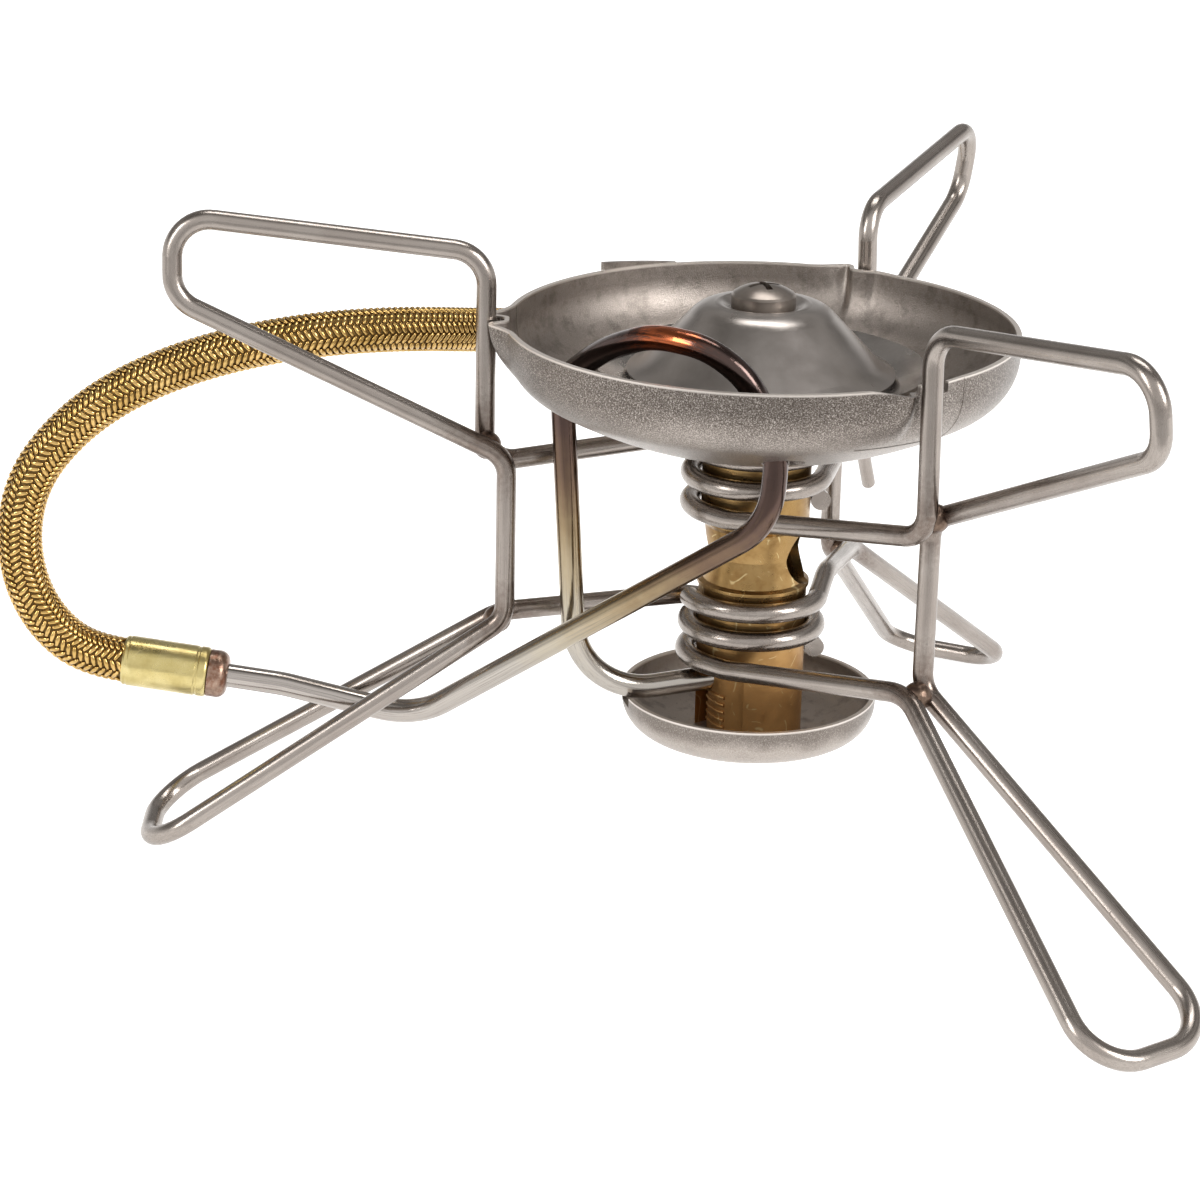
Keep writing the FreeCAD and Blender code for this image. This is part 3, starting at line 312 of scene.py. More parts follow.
def pressed_grain_and_painted_glints(tree, colour, grain, outside, depth, band, share):
    """Dark grains and bright painted glints, most of them on the outside and in the band."""
    near_rim = add(tree, "ShaderNodeMapRange", {
        "Value": depth, "From Min": band[1], "From Max": band[0], "To Max": outside})
    in_band = add(tree, "ShaderNodeMapRange", {
        "Value": near_rim, "To Min": share * 0.6, "To Max": share})
    on_side = add(tree, "ShaderNodeMapRange", {"Value": outside, "To Min": 0.3})
    coarse = add(tree, "ShaderNodeMath", {0: on_side, 1: in_band}, operation="MULTIPLY")
    colour = laid_over(tree, colour, "#4f4843", grain, 0.40, 0.60, coarse)
    # Painted glints: bright grains that stand for sparkle.
    return laid_over(tree, colour, "#bdb5ae", grain, 0.45, 0.33, coarse)


def painted_rim_highlight(tree, colour, height, rim_height):
    """A painted highlight on the edge of the rim, but not on the ears that stand above it."""
    under_ears = add(tree, "ShaderNodeMapRange", {
        "Value": height, "From Min": rim_height + 0.4 * MM, "From Max": rim_height + 0.1 * MM})
    return laid_over(
        tree, colour, "#d2cac2", height, rim_height - 0.45 * MM, rim_height - 0.2 * MM,
        under_ears)


print("grain", GRAIN_MM, "mm, or", round(per_metre(GRAIN_MM) * MM, 1), "in a millimetre")

# %% [markdown]
# The bowl and the cup are the same steel with other numbers. The cup is stretched less, so its
# grain is weaker and its painted dark band narrower, and burnt fuel has left it duller inside.
# Deep inside, the bowl is painted darker as painted shade and the cup paler as painted light.

# %% Material: stamped stainless sheet
def stamped_sheet(name, rim_height, grain_share, band_mm, inside_rough, painted_deep_inside_hex):
    """Matte pressed steel; outside it is grainy, painted dark under the rim and painted pale
    lower.
    """
    material, tree, shader, place = new_metal(name, 0.4)
    clouds = add(tree, "ShaderNodeTexNoise", {
        "Vector": place, "Scale": per_metre(14.0), "Detail": 3.0, "Roughness": 0.6})
    grain = add(tree, "ShaderNodeTexNoise", {
        "Vector": place, "Scale": per_metre(GRAIN_MM), "Detail": 3.0, "Roughness": 0.6})
    pits = add(tree, "ShaderNodeTexNoise", {
        "Vector": place, "Scale": per_metre(0.6), "Detail": 6.0, "Roughness": 0.6})
    outside = faces_outside(tree, place)
    height = add(tree, "ShaderNodeSeparateXYZ", {0: place}, out="Z")
    depth = add(tree, "ShaderNodeMath", {0: rim_height, 1: height}, operation="SUBTRACT")
    depth = shifted(tree, depth, clouds, 0.3, 0.7, -1.5 * MM, 1.5 * MM)
    band = (band_mm * 0.7 * MM, band_mm * 1.6 * MM)

    colour = pressed_tone_and_painted_shade(tree, place, clouds, outside, depth, band, painted_deep_inside_hex)
    colour = pressed_grain_and_painted_glints(tree, colour, grain, outside, depth, band, grain_share)
    colour = laid_over(tree, colour, "#4f4742", pits, 0.62, 0.74, 0.5)
    # Painted highlight along the rim's edge.
    colour = painted_rim_highlight(tree, colour, height, rim_height)
    rough = add(tree, "ShaderNodeMapRange", {
        "Value": outside, "To Min": inside_rough, "To Max": 0.34})
    skin = add(tree, "ShaderNodeBump", {"Height": grain, "Distance": 0.06 * MM})
    skin = add(tree, "ShaderNodeBump", {
        "Height": pits, "Distance": 0.03 * MM, "Normal": skin})
    fill(tree, shader, {"Base Color": colour, "Roughness": rough, "Normal": skin})
    return material


# The bowl's inside is painted darker towards its floor, as painted shade.
bowl_steel = stamped_sheet(
    "stainless_sheet_stamped", RIM_HEIGHT, grain_share=0.9, band_mm=7.0, inside_rough=0.41,
    painted_deep_inside_hex="#857c75")
# The cup's inside is painted paler towards its floor, as painted light.
cup_steel = stamped_sheet(
    "stainless_sheet_stamped_cup", cup_rim, grain_share=0.4, band_mm=2.5, inside_rough=0.5,
    painted_deep_inside_hex="#d6cec7")
print("nodes in the bowl's metal", len(bowl_steel.node_tree.nodes))

# %% [markdown]
# ## Spun and turned steel
# The bell with its flange is spun and polished, a little smeared by heat. The flame spreader
# and its screw are satin, with fine rings round the axis where the tool passed. A wave texture
# in rings round Z draws them; it makes about three waves in each unit of its scaled place. Real
# rings lie closer than a tenth of a millimetre, too fine to show, so they are drawn 0.4 to 0.8 mm
# apart.

# %% Material: spun stainless steel
WAVES_PER_UNIT = 3.14


def spun_steel(name, painted_deep_inside_hex, high_hex, rough_low, rough_high, ring_mm, ring_depth_mm):
    """Bright or satin steel with fine rings, which draw a highlight out across the turning."""
    material, tree, shader, place = new_metal(name, rough_low)
    clouds = add(tree, "ShaderNodeTexNoise", {
        "Vector": place, "Scale": per_metre(8.0), "Detail": 4.0, "Roughness": 0.6})
    rings = add(tree, "ShaderNodeTexWave", {
        "Vector": place, "Scale": per_metre(ring_mm) / WAVES_PER_UNIT, "Distortion": 0.4,
        "Detail": 2.0, "Detail Scale": 3.0}, out="Fac", wave_type="RINGS", rings_direction="Z")
    colour = laid_over(tree, painted_deep_inside_hex, high_hex, clouds, 0.3, 0.7)
    rough = add(tree, "ShaderNodeMapRange", {
        "Value": clouds, "From Min": 0.3, "From Max": 0.7,
        "To Min": rough_low, "To Max": rough_high})
    skin = add(tree, "ShaderNodeBump", {"Height": rings, "Distance": ring_depth_mm * MM})
    fill(tree, shader, {"Base Color": colour, "Roughness": rough, "Normal": skin})
    return material


# The bell is the shiniest of the three: it shows the room in soft bands down its cone.
bell_steel = spun_steel(
    "stainless_steel_spun_bright", "#8b8580", "#a29d98", rough_low=0.19, rough_high=0.3,
    ring_mm=0.8, ring_depth_mm=0.002)
# The spreader is satin, so it shows one broad highlight and no picture of the room.
spreader_steel = spun_steel(
    "stainless_steel_spun_satin", "#98918b", "#a8a19c", rough_low=0.27, rough_high=0.34,
    ring_mm=0.5, ring_depth_mm=0.001)
# The screw is darker and duller, because it sits in the flame.
screw_steel = spun_steel(
    "stainless_steel_turned", "#80776f", "#988f87", rough_low=0.3, rough_high=0.4,
    ring_mm=0.4, ring_depth_mm=0.002)
print("spun metals", [metal.name for metal in (bell_steel, spreader_steel, screw_steel)])

# %% [markdown]
# ## Brass
# The mixing tube is turned from brass bar, then scratched by the legs' coils and tarnished by
# heat. Down in the cup it is rougher, and it is painted a lighter, redder brass there as painted
# light in the cup's shade. A scratch is drawn where a smooth noise crosses its middle value,
# which gives a long thin curve, and a second noise keeps only some stretches of it. The ferrules
# are newer, paler brass. A lathe's real lines lie less than a tenth of a millimetre apart, too
# fine to show, so they are drawn 0.6 mm apart.

# %% Pattern: scratches
def scratches(tree, place, feature_mm, share_low):
    """Long thin curved lines, in some patches only."""
    smooth = add(tree, "ShaderNodeTexNoise", {
        "Vector": place, "Scale": per_metre(feature_mm), "Detail": 0.0, "Roughness": 0.6})
    off = add(tree, "ShaderNodeMath", {0: smooth, 1: 0.5}, operation="SUBTRACT")
    off = add(tree, "ShaderNodeMath", {0: off}, operation="ABSOLUTE")
    patches = add(tree, "ShaderNodeTexNoise", {
        "Vector": place, "Scale": per_metre(feature_mm * 0.5), "Detail": 1.0,
        "Roughness": 0.6})
    kept = add(tree, "ShaderNodeMapRange", {
        "Value": patches, "From Min": share_low, "From Max": share_low + 0.05})
    return add(tree, "ShaderNodeMapRange", {
        "Value": off, "From Min": 0.016, "From Max": 0.004, "To Max": kept})


# %% [markdown]
# The brass starts clouded between two golds. Tarnish comes over it in stains, then the painted
# light of the tube's foot, a lighter and redder brass in the cup's shade, and last the scratches,
# which cut through all of it to clean metal.

# %% Material: turned brass
DULL_TOP = 46.0 * MM
DULL_LOW = 32.0 * MM
LATHE_MM = 0.6


def turned_brass(name, pale_hex, deep_hex, tarnish_hex, tarnish, rough, scratched, foot_dull_and_painted_light):
    """Golden metal with lathe lines, pale scratches and brown stains."""
    material, tree, shader, place = new_metal(name, rough)
    clouds = add(tree, "ShaderNodeTexNoise", {
        "Vector": place, "Scale": per_metre(7.0), "Detail": 4.0, "Roughness": 0.6})
    stains = add(tree, "ShaderNodeTexNoise", {
        "Vector": place, "Scale": per_metre(3.0), "Detail": 5.0, "Roughness": 0.6})
    lathe = add(tree, "ShaderNodeTexWave", {
        "Vector": place, "Scale": per_metre(LATHE_MM) / WAVES_PER_UNIT, "Distortion": 0.6},
        out="Fac", wave_type="BANDS", bands_direction="Z")
    marks = add(tree, "ShaderNodeMath", {
        0: scratches(tree, place, 6.0, 0.54), 1: scratches(tree, place, 3.5, 0.58)},
        operation="MAXIMUM")
    height = add(tree, "ShaderNodeSeparateXYZ", {0: place}, out="Z")
    colour = laid_over(tree, deep_hex, pale_hex, clouds, 0.3, 0.7)
    colour = laid_over(tree, colour, tarnish_hex, stains, 0.5, 0.72, tarnish)
    # Painted light: the tube's foot in the cup's shade is painted lighter and redder.
    colour = laid_over(tree, colour, "#bd8d58", height, DULL_TOP, DULL_LOW, foot_dull_and_painted_light * 4.0)
    colour = laid_over(tree, colour, "#e2cf9c", marks, 0.0, 1.0, scratched)
    dull = add(tree, "ShaderNodeMapRange", {
        "Value": height, "From Min": DULL_TOP, "From Max": DULL_LOW, "To Max": foot_dull_and_painted_light})
    dull = shifted(tree, dull, stains, 0.3, 0.7, rough, rough + 0.14)
    skin = add(tree, "ShaderNodeBump", {"Height": lathe, "Distance": 0.004 * MM})
    skin = add(tree, "ShaderNodeBump", {
        "Height": marks, "Distance": -0.01 * MM, "Normal": skin})
    fill(tree, shader, {"Base Color": colour, "Roughness": dull, "Normal": skin})
    return material


# The tube is old gold with brown stains and pale scratches.
tube_brass = turned_brass(
    "brass_turned_tarnished", "#a28558", "#8a6c41", "#70502c", tarnish=0.6, rough=0.24,
    scratched=0.5, foot_dull_and_painted_light=0.16)
# The ferrules are a pale, clean yellow with soft highlights.
ferrule_brass = turned_brass(
    "brass_drawn_bright", "#d0c28d", "#b8a76c", "#917d45", tarnish=0.4, rough=0.22,
    scratched=0.1, foot_dull_and_painted_light=0.0)
print("brasses", [metal.name for metal in (tube_brass, ferrule_brass)])

# %% [markdown]
# ## The heat tinted fuel line
# The preheat loop runs through the flame. Steel shows its hottest temperature as a colour: a
# coppery scale at the top of the loop, then brown, purple and straw, and clean steel where the
# line stays cold. The distance from the hottest point drives a ramp of those colours.

# %% Material: heat tinted steel tube
HOT_POINT = Vector((-17.0 * MM, -27.0 * MM, 101.0 * MM))
TINTS_BY_MM = [
    (0.0, "#c76f45"), (4.0, "#ad5e3c"), (6.5, "#64443a"), (10.0, "#4f413d"),
    (22.0, "#4b403d"), (33.0, "#594842"), (40.0, "#705c4b"), (46.0, "#8c7a5f"),
    (53.0, "#a1937a"), (61.0, "#aca392"), (70.0, "#aca69e"), (95.0, "#aaa39d"),
]


def heat_tinted_line():
    """Glossy tube whose colour runs from copper over purple and straw to grey steel."""
    material, tree, shader, place = new_metal("steel_tube_heat_tinted", 0.26)
    clouds = add(tree, "ShaderNodeTexNoise", {
        "Vector": place, "Scale": per_metre(6.0), "Detail": 4.0, "Roughness": 0.6})
    streaks = drawn_lines(tree, place, 14.0)
    away = nearest(tree, place, [HOT_POINT])
    away = shifted(tree, away, clouds, 0.25, 0.75, -3.0 * MM, 3.0 * MM)
    away = shifted(tree, away, streaks, 0.3, 0.7, -3.0 * MM, 3.0 * MM)
    reach = TINTS_BY_MM[-1][0]
    cold = add(tree, "ShaderNodeMapRange", {"Value": away, "From Max": reach * MM})
    tint = add(tree, "ShaderNodeValToRGB", {0: cold}, stops=[
        (distance / reach, shade) for distance, shade in TINTS_BY_MM])
    colour = laid_over(tree, tint, "#453a35", streaks, 0.5, 0.72, 0.45)
    rough = add(tree, "ShaderNodeMapRange", {
        "Value": streaks, "From Min": 0.3, "From Max": 0.7, "To Min": 0.13, "To Max": 0.24})
    skin = add(tree, "ShaderNodeBump", {"Height": streaks, "Distance": 0.002 * MM})
    fill(tree, shader, {"Base Color": colour, "Roughness": rough, "Normal": skin})
    return material


line_steel = heat_tinted_line()
print("tint stops", len(TINTS_BY_MM))

# %% [markdown]
# ## Brazing
# The wire's crossings are filled with brazing bronze that has oxidised brown, and the hose ends
# are closed with a copper coloured braze. Both froze as they flowed, which leaves a soft uneven
# skin. The cleaning cable is dull twisted steel and takes the same uneven skin.

# %% Material: brazing metals
def brazing(name, painted_deep_inside_hex, high_hex, rough):
    """A dull metal with a soft, flowed relief of about a millimetre."""
    material, tree, shader, place = new_metal(name, rough)
    flow = add(tree, "ShaderNodeTexNoise", {
        "Vector": place, "Scale": per_metre(1.4), "Detail": 5.0, "Roughness": 0.6})
    colour = laid_over(tree, painted_deep_inside_hex, high_hex, flow, 0.35, 0.65)
    skin = add(tree, "ShaderNodeBump", {"Height": flow, "Distance": 0.12 * MM})
    fill(tree, shader, {"Base Color": colour, "Normal": skin})
    return material


# Dark brown scale; pinkish copper; grey steel that has lost its shine.
bronze_braze = brazing("brazing_bronze_oxidised", "#51423a", "#7d6a5c", rough=0.34)
copper_braze = brazing("copper_braze_flowed", "#74503f", "#a48e7e", rough=0.3)
cable_steel = brazing("steel_cable_stranded", "#6f6c68", "#8f8b86", rough=0.4)
print("brazes", [metal.name for metal in (bronze_braze, copper_braze, cable_steel)])

# %% [markdown]
# ## Metals on the solid parts
# Each solid part has a slot that says which metal it is, and all parts with one slot share one
# material. Two parts take a metal of their own: the cup, because its rim is lower than the
# bowl's, and the screw, because it was turned where the spreader was spun.

# %% Give the solid parts their metals
METALS = {
    "wire_steel": wire_steel, "bowl_steel": bowl_steel, "bell_steel": bell_steel,
    "spreader_steel": spreader_steel, "tube_brass": tube_brass, "line_steel": line_steel,
    "cable_steel": cable_steel, "braze_bronze": bronze_braze, "copper_braze": copper_braze,
    "ferrule_brass": ferrule_brass,
}
OWN_METALS = {"priming_cup": cup_steel, "burner_screw": screw_steel}
for part in frame["record"]["subparts"]:
    metal = OWN_METALS.get(part["node"], METALS.get(part["material_slot"]))
    if metal:
        for material_slot in nodes[part["node"]].material_slots:
            material_slot.material = metal

# %% [markdown]
# ## The fuel hose
# The hose is a rubber tube in a braid of brass wire. Its line is a smooth spline, laid along the
# solid model's hose. The core is that spline with a round bevel, painted dark as painted shade,
# the shadow between the wires. A second copy without a bevel gives the points that the braid
# follows.

# %% Hose core
HOSE_DIAMETER = 8.0 * MM
HOSE_ROUTE_MM = [
    (-111.0, 0.2, 31.6), (-117.5, 0.3, 32.5), (-124.2, 0.8, 37.6), (-128.4, 1.6, 45.2),
    (-129.6, 2.6, 54.6), (-127.3, 3.6, 64.2), (-120.9, 5.0, 72.4), (-112.3, 6.2, 79.0),
    (-101.5, 7.8, 83.9), (-88.5, 9.6, 87.5), (-74.8, 12.6, 89.2), (-62.2, 18.6, 88.6),
    (-51.5, 28.5, 86.0), (-43.0, 42.0, 82.5), (-35.0, 58.5, 79.0), (-26.0, 77.0, 75.6),
    (-15.5, 99.5, 71.8), (-5.0, 122.0, 67.6), (5.0, 141.5, 63.4), (13.8, 157.0, 61.0),
    (20.6, 165.9, 57.6), (24.9, 174.5, 51.7), (26.5, 179.7, 44.6),
]
HOSE_ROUTE = [tuple(value * MM for value in point) for point in HOSE_ROUTE_MM]
CORE_INSET = 0.42 * MM


def curve_object(name, kind, points):
    """A curve object of one spline with the given points."""
    curve = bpy.data.curves.new(name, "CURVE")
    curve.dimensions = "3D"
    spline = curve.splines.new(kind)
    spline.points.add(len(points) - 1)
    for point, place in zip(spline.points, points):
        point.co = (*place, 1.0)
    return in_scene(name, curve)


def hose_curve(name, bevel):
    """The hose's line as a smooth spline with a round bevel."""
    thing = curve_object(name, "NURBS", HOSE_ROUTE)
    thing.data.bevel_depth = bevel
    thing.data.bevel_resolution = 4
    thing.data.resolution_u = 8
    thing.data.splines[0].order_u = 3
    thing.data.splines[0].use_endpoint_u = True
    return thing


def braid_shadow():
    """Painted shade: dark brass deep in the braid, where hardly any light comes."""
    material, tree, shader, place = new_metal("brass_braid_shadow", 0.55)
    clouds = add(tree, "ShaderNodeTexNoise", {
        "Vector": place, "Scale": per_metre(1.5), "Detail": 3.0, "Roughness": 0.6})
    fill(tree, shader, {"Base Color": laid_over(tree, "#59462a", "#7b643c", clouds, 0.0, 1.0)})
    return material


# The core's dark brass is painted shade.
core = hose_curve("fuel_hose_core", HOSE_DIAMETER / 2.0 - CORE_INSET)
core.data.materials.append(braid_shadow())
line_object = hose_curve("fuel_hose_line", 0.0)
line_mesh = bpy.data.meshes.new_from_object(line_object)
line_points = [vertex.co.copy() for vertex in line_mesh.vertices]
line_length = sum((b - a).length for a, b in zip(line_points, line_points[1:]))
bpy.data.objects.remove(line_object)
print("hose points", len(line_points), "length", round(line_length / MM, 1), "mm")

# %% [markdown]
# ## The braid
# A braid has as many strands turning one way as the other, and each passes over and under the
# others. Seen from outside, only the short lengths on top show, plump as grains of corn. They
# stand in straight columns along the hose, leaning left in one column and right in the next,
# which is the herringbone that the eye sees. Woven strands would cost millions of faces, so the
# tree lays one rounded float for each crossing, on points worked out from a column number and a
# row number.

# %% Helpers: a geometry tree
def new_group(name, inputs):
    """An empty geometry tree with named inputs: the tree and what it is given."""
    tree = bpy.data.node_groups.new(name, "GeometryNodeTree")
    for way in ("INPUT", "OUTPUT"):
        tree.interface.new_socket("Geometry", in_out=way, socket_type="NodeSocketGeometry")
    for socket_name, kind in inputs.items():
        tree.interface.new_socket(
            socket_name, in_out="INPUT", socket_type="NodeSocket" + kind)
    return tree, add(tree, "NodeGroupInput").node.outputs


def repeat_shape(tree, points, shape, metal, **turned):
    """Lays a shape on every point, makes it real, smooths it and gives it its metal."""
    laid = add(tree, "GeometryNodeInstanceOnPoints", {
        "Points": points, "Instance": shape, **turned})
    real = add(tree, "GeometryNodeRealizeInstances", {"Geometry": laid})
    smooth = add(tree, "GeometryNodeSetShadeSmooth", {0: real})
    dressed = add(tree, "GeometryNodeSetMaterial", {"Geometry": smooth, "Material": metal})
    add(tree, "NodeGroupOutput", {0: dressed})


def direction_between(tree, first, second, angle):
    """The direction that lies at an angle from a first direction towards a second."""
    shares = []
    for direction, operation in ((first, "COSINE"), (second, "SINE")):
        share = add(tree, "ShaderNodeMath", {0: angle}, operation=operation)
        shares.append(add(tree, "ShaderNodeVectorMath", {
            0: direction, "Scale": share}, operation="SCALE"))
    return add(tree, "ShaderNodeVectorMath", {0: shares[0], 1: shares[1]}, operation="ADD")


def made_real(thing, tree, values, name):
    """Runs a tree on an object, its inputs set by identifier, and keeps only the plain mesh."""
    modifier = thing.modifiers.new(tree.name, "NODES")
    modifier.node_group = tree
    for item in tree.interface.items_tree:
        if item.item_type == "SOCKET" and item.in_out == "INPUT" and item.name in values:
            modifier[item.identifier] = values[item.name]
    graph = bpy.context.evaluated_depsgraph_get()
    mesh = bpy.data.meshes.new_from_object(thing.evaluated_get(graph), depsgraph=graph)
    bpy.data.objects.remove(thing)
    return in_scene(name, mesh)


# %% [markdown]
# The tree numbers its points and divides each number by the columns. The remainder says how far
# round the hose a float lies, and the whole part says how far along. The curve gives the place
# and the directions there, and the float is laid on the hose's surface, leaning with its strand.

# %% Tree of the braid
def braid_tree():
    """Floats of a braid along the input curve; the sizes are named inputs."""
    tree, given = new_group("braid", {
        "Columns": "Int", "Rows": "Int", "Radius": "Float", "Pitch": "Float",
        "Lean": "Float", "Float size": "Vector", "Metal": "Material"})
    number = add(tree, "GeometryNodeInputIndex")
    column = add(tree, "ShaderNodeMath", {0: number, 1: given["Columns"]}, operation="MODULO")
    row = add(tree, "ShaderNodeMath", {0: number, 1: given["Columns"]}, operation="DIVIDE")
    row = add(tree, "ShaderNodeMath", {0: row}, operation="FLOOR")

    # Odd columns lean the other way and stand half a row further on.
    odd = add(tree, "ShaderNodeMath", {0: column, 1: 2.0}, operation="MODULO")
    side = add(tree, "ShaderNodeMapRange", {"Value": odd, "To Min": 1.0, "To Max": -1.0})
    along = shifted(tree, row, odd, 0.0, 1.0, 0.25, 0.75)
    along = add(tree, "ShaderNodeMath", {0: along, 1: given["Pitch"]}, operation="MULTIPLY")
    turns = add(tree, "ShaderNodeMath", {0: column, 1: given["Columns"]}, operation="DIVIDE")
    angle = add(tree, "ShaderNodeMath", {0: turns, 1: 2.0 * math.pi}, operation="MULTIPLY")

    sample = add(tree, "GeometryNodeSampleCurve", {
        "Curves": given["Geometry"], "Length": along}, mode="LENGTH").node.outputs
    tangent, normal = sample["Tangent"], sample["Normal"]
    across = add(tree, "ShaderNodeVectorMath", {
        0: tangent, 1: normal}, operation="CROSS_PRODUCT")
    outward = direction_between(tree, normal, across, angle)
    around = add(tree, "ShaderNodeVectorMath", {
        0: tangent, 1: outward}, operation="CROSS_PRODUCT")
    lean = add(tree, "ShaderNodeMath", {0: given["Lean"], 1: side}, operation="MULTIPLY")
    strand = direction_between(tree, tangent, around, lean)
    lift = add(tree, "ShaderNodeVectorMath", {
        0: outward, "Scale": given["Radius"]}, operation="SCALE")
    place = add(tree, "ShaderNodeVectorMath", {0: sample["Position"], 1: lift}, operation="ADD")
    turn = add(tree, "FunctionNodeAxesToRotation", {
        "Primary Axis": strand, "Secondary Axis": outward},
        primary_axis="Z", secondary_axis="X")

    total = add(tree, "ShaderNodeMath", {
        0: given["Columns"], 1: given["Rows"]}, operation="MULTIPLY")
    points = add(tree, "GeometryNodePoints", {"Count": total, "Position": place})
    grain = add(tree, "GeometryNodeMeshUVSphere", {"Segments": 8, "Rings": 4, "Radius": 1.0})
    grain = add(tree, "GeometryNodeTransform", {
        "Geometry": grain, "Scale": given["Float size"]})
    repeat_shape(tree, points, grain, given["Metal"], Rotation=turn)
    return tree


# %% [markdown]
# On the real hose a float is a band of a few hair-thin wires side by side. Drawn one by one they
# would be too fine to show, so each float is one plump grain, 2.5 mm long and 0.9 mm wide.

# %% Braid of brass wire
BRAID_COLUMNS = 12
BRAID_PITCH = 1.17 * MM
BRAID_LEAN = math.radians(61.0)
FLOAT_HALF_LENGTH = 1.24 * MM
FLOAT_HALF_WIDTH = 0.47 * MM
FLOAT_HALF_HEIGHT = 0.38 * MM


def braid_brass():
    """Fine drawn brass wire, bright on top and browned by handling in patches."""
    material, tree, shader, place = new_metal("brass_wire_braided", 0.2)
    clouds = add(tree, "ShaderNodeTexNoise", {
        "Vector": place, "Scale": per_metre(5.0), "Detail": 3.0, "Roughness": 0.6})
    fine = add(tree, "ShaderNodeTexNoise", {
        "Vector": place, "Scale": per_metre(0.8), "Detail": 2.0, "Roughness": 0.6})
    colour = laid_over(tree, "#b39152", "#d6b475", clouds, 0.3, 0.7)
    colour = laid_over(tree, colour, "#90733f", fine, 0.5, 0.75, 0.5)
    fill(tree, shader, {"Base Color": colour})
    return material


braid = made_real(curve_object("braid_guide", "POLY", line_points), braid_tree(), {
    "Columns": BRAID_COLUMNS, "Rows": int(line_length / BRAID_PITCH),
    "Radius": HOSE_DIAMETER / 2.0 - FLOAT_HALF_HEIGHT * 0.95, "Pitch": BRAID_PITCH,
    "Lean": BRAID_LEAN,
    "Float size": (FLOAT_HALF_HEIGHT, FLOAT_HALF_WIDTH, FLOAT_HALF_LENGTH),
    "Metal": braid_brass(),
}, "fuel_hose_braid")
print("braid triangles", sum(len(p.vertices) - 2 for p in braid.data.polygons))

# %% [markdown]
# Both pieces of the hose ride on the stove and stand for the solid hose, which is hidden.

# %% Put the hose on the stove
for piece in (core, braid):
    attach(piece, "stove")
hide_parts("fuel_hose")
print("hose leaves the stove at", [round(value / MM, 1) for value in HOSE_ROUTE[0]], "mm")

# %% [markdown]
# ## The thread in the tube's slot
# A slot in the tube's foot shows the jet block, which is screwed in by a coarse thread. The
# crests stand as short arcs one above the other, from the cup's floor to the underside of the
# fuel line. One arc is swept with a round profile and laid on a line of points.

# %% Tree of the thread
def thread_tree():
    """Short round crests, one under the other; the sizes are named inputs."""
    tree, given = new_group("thread", {
        "Crests": "Int", "Pitch": "Float", "Crest radius": "Float", "Metal": "Material"})
    profile = add(tree, "GeometryNodeCurvePrimitiveCircle", {
        "Resolution": 8, "Radius": given["Crest radius"]})
    crest = add(tree, "GeometryNodeCurveToMesh", {
        "Curve": given["Geometry"], "Profile Curve": profile, "Fill Caps": True})
    number = add(tree, "GeometryNodeInputIndex")
    down = add(tree, "ShaderNodeMath", {0: number, 1: given["Pitch"]}, operation="MULTIPLY")
    down = add(tree, "ShaderNodeMath", {0: down, 1: -1.0}, operation="MULTIPLY")
    place = add(tree, "ShaderNodeCombineXYZ", {"Z": down})
    points = add(tree, "GeometryNodePoints", {"Count": given["Crests"], "Position": place})
    repeat_shape(tree, points, crest, given["Metal"])
    return tree


# %% [markdown]
# Only the side of the block that faces the camera shows in the slot, so the crests reach just a
# little over an eighth of the way round.

# %% Thread of the jet block
BLOCK_RADIUS = 7.2 * MM
CREST_RADIUS = 0.34 * MM
THREAD_PITCH = 1.4 * MM
THREAD_FROM, THREAD_SWEEP = math.radians(184.0), math.radians(48.0)
FIRST_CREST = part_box("jet_block")[1].z - 6.9 * MM
CRESTS = 5
ARC_STEPS = 16

arc = []
for step in range(ARC_STEPS + 1):
    turn = THREAD_FROM + THREAD_SWEEP * step / ARC_STEPS
    arc.append((BLOCK_RADIUS * math.cos(turn), BLOCK_RADIUS * math.sin(turn), FIRST_CREST))
thread = made_real(curve_object("crest_line", "POLY", arc), thread_tree(), {
    "Crests": CRESTS, "Pitch": THREAD_PITCH, "Crest radius": CREST_RADIUS, "Metal": tube_brass,
}, "jet_block_thread")
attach(thread, "stove")
print("upper crest at", round(FIRST_CREST / MM, 1), "mm")

# %% [markdown]
# ## Floor and light
# The stove stands on a plain sweep of matt white paper that glows a little, like a lit table,
# and gives the eye a clean ground. The glow fades out from 15 to 22 cm in front of the burner.
# The upright wires and the steel under the rims mirror the duller paper beyond, which draws their
# dark bands.

# %% Floor
FLOOR_SIZE = 6.0
GLOW_EDGE = 0.15
GLOW_FADE = 0.07
GLOW = 0.85

half = FLOOR_SIZE / 2.0
floor_mesh = bpy.data.meshes.new("floor")
floor_mesh.from_pydata(
    [(-half, -half, 0.0), (half, -half, 0.0), (half, half, 0.0), (-half, half, 0.0)],
    [], [(0, 1, 2, 3)])
floor = in_scene("floor", floor_mesh)
paper = bpy.data.materials.new("paper_sweep_white")
paper.use_nodes = True
sweep = paper.node_tree
sheet_place = add(sweep, "ShaderNodeTexCoord", out="Object")
sheet_depth = add(sweep, "ShaderNodeSeparateXYZ", {0: sheet_place}, out="Y")
glow = add(sweep, "ShaderNodeMapRange", {
    "Value": sheet_depth, "From Min": -GLOW_EDGE - GLOW_FADE, "From Max": -GLOW_EDGE,
    "To Max": GLOW})
fill(sweep, sweep.nodes["Principled BSDF"], {
    "Base Color": "#c8c8c8", "Roughness": 0.9, "Emission Color": "#ffffff",
    "Emission Strength": glow})
floor_mesh.materials.append(paper)
print("floor", FLOOR_SIZE, "m")

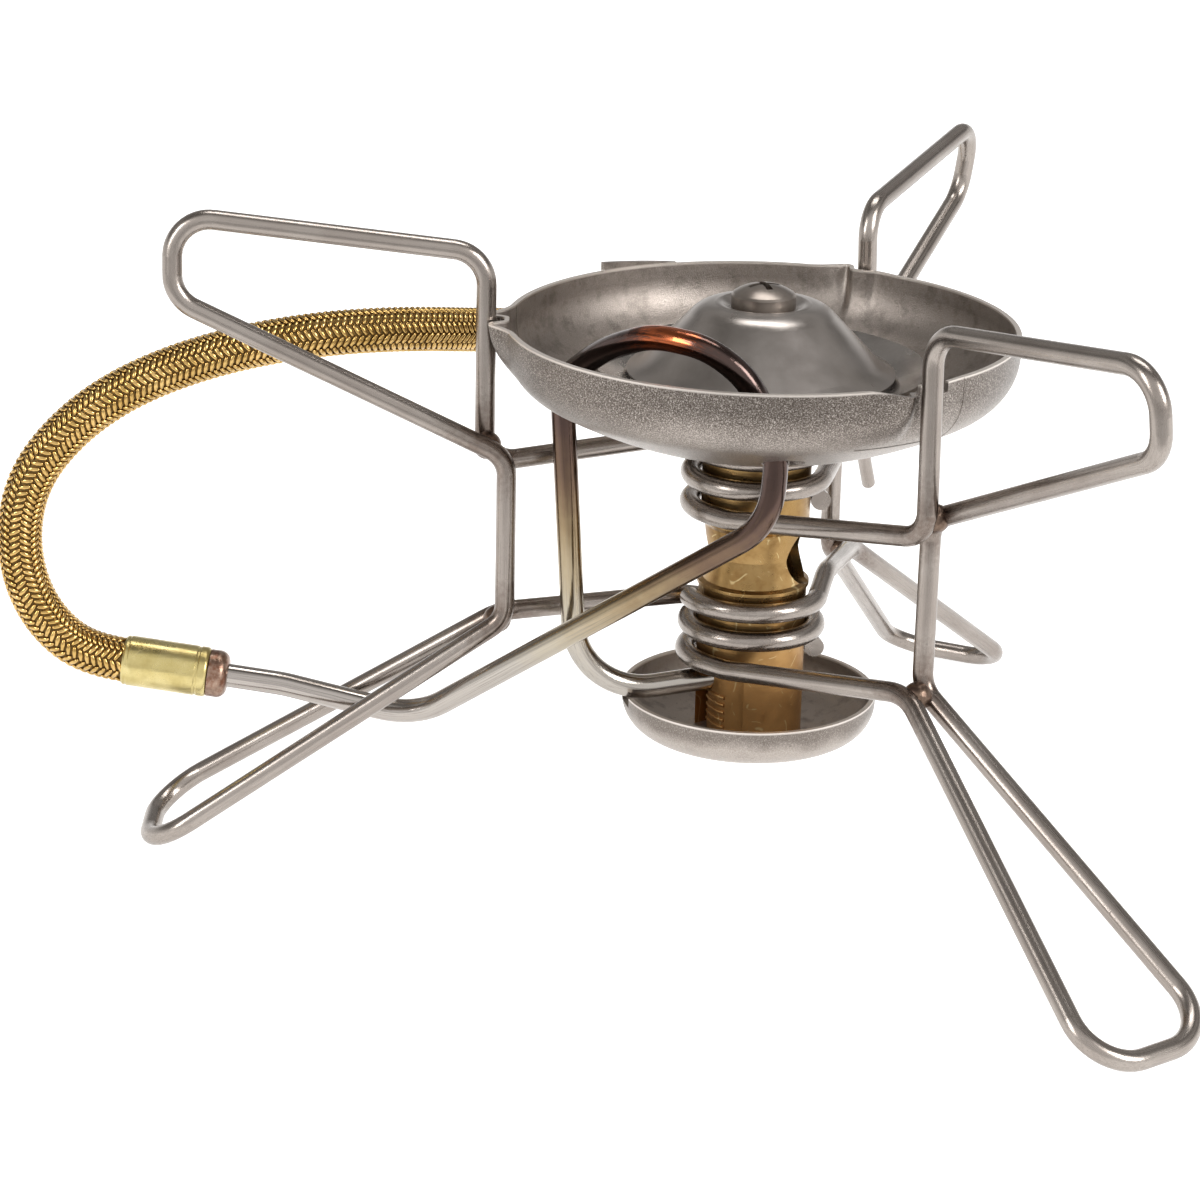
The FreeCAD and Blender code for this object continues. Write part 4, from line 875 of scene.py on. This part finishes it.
# %% [markdown]
# Three soft boxes add the highlights: a dim one above, one on the left and a stronger one on the
# right. The glowing floor and the bright wall fill their shadows.

# %% Studio light
LAMPS_AIM = Vector((0.0, 0.0, 0.06))


def soft_box(name, place, size, watts):
    """A rectangular lamp that is turned towards the stove."""
    lamp = bpy.data.lights.new(name, "AREA")
    lamp.shape = "RECTANGLE"
    lamp.size, lamp.size_y = size
    lamp.energy = watts
    thing = in_scene(name, lamp)
    thing.location = place
    thing.rotation_euler = (LAMPS_AIM - Vector(place)).to_track_quat("-Z", "Y").to_euler()


soft_box("box_top", place=(0.1, 0.3, 1.3), size=(0.8, 0.35), watts=6.0)
soft_box("box_left", place=(-0.95, -0.75, 0.65), size=(0.3, 0.7), watts=7.0)
soft_box("box_right", place=(1.0, -0.7, 0.75), size=(0.5, 0.7), watts=15.0)
print("lamps", len(bpy.data.lights))

# %% [markdown]
# Metal shows what surrounds it, so the room matters more than the lamps. The wall is bright up to
# about 13 degrees, dark from 17 to 25, paler round 33 and dark again overhead, and one broad
# bright patch stands in front. That gives a round wire a dark upper edge, a light middle and a
# light underside from the floor.

# %% Room
FRONT_RISE = math.radians(30.0)
WALL_BANDS = [
    (0.12, "#fbfaf9"), (0.22, "#e4e3e2"), (0.30, "#6b6967"), (0.42, "#777573"),
    (0.55, "#b9b7b5"), (0.80, "#757371"),
]
ROOM_STRENGTH = 1.12

world = bpy.data.worlds.new("room")
bpy.context.scene.world = world
world.use_nodes = True
room = world.node_tree
way = add(room, "ShaderNodeTexCoord", out="Generated")
rise = add(room, "ShaderNodeSeparateXYZ", {0: way}, out="Z")
wall = add(room, "ShaderNodeValToRGB", {0: rise}, stops=WALL_BANDS)
front = add(room, "ShaderNodeVectorMath", {
    0: way, 1: (0.0, -math.cos(FRONT_RISE), math.sin(FRONT_RISE))},
    out="Value", operation="DOT_PRODUCT")
wall = laid_over(room, wall, "#ffffff", front, 0.70, 0.92)
fill(room, room.nodes["Background"], {"Color": wall, "Strength": ROOM_STRENGTH})
bpy.context.scene.view_settings.view_transform = "Standard"
print("bands in the room", len(WALL_BANDS))
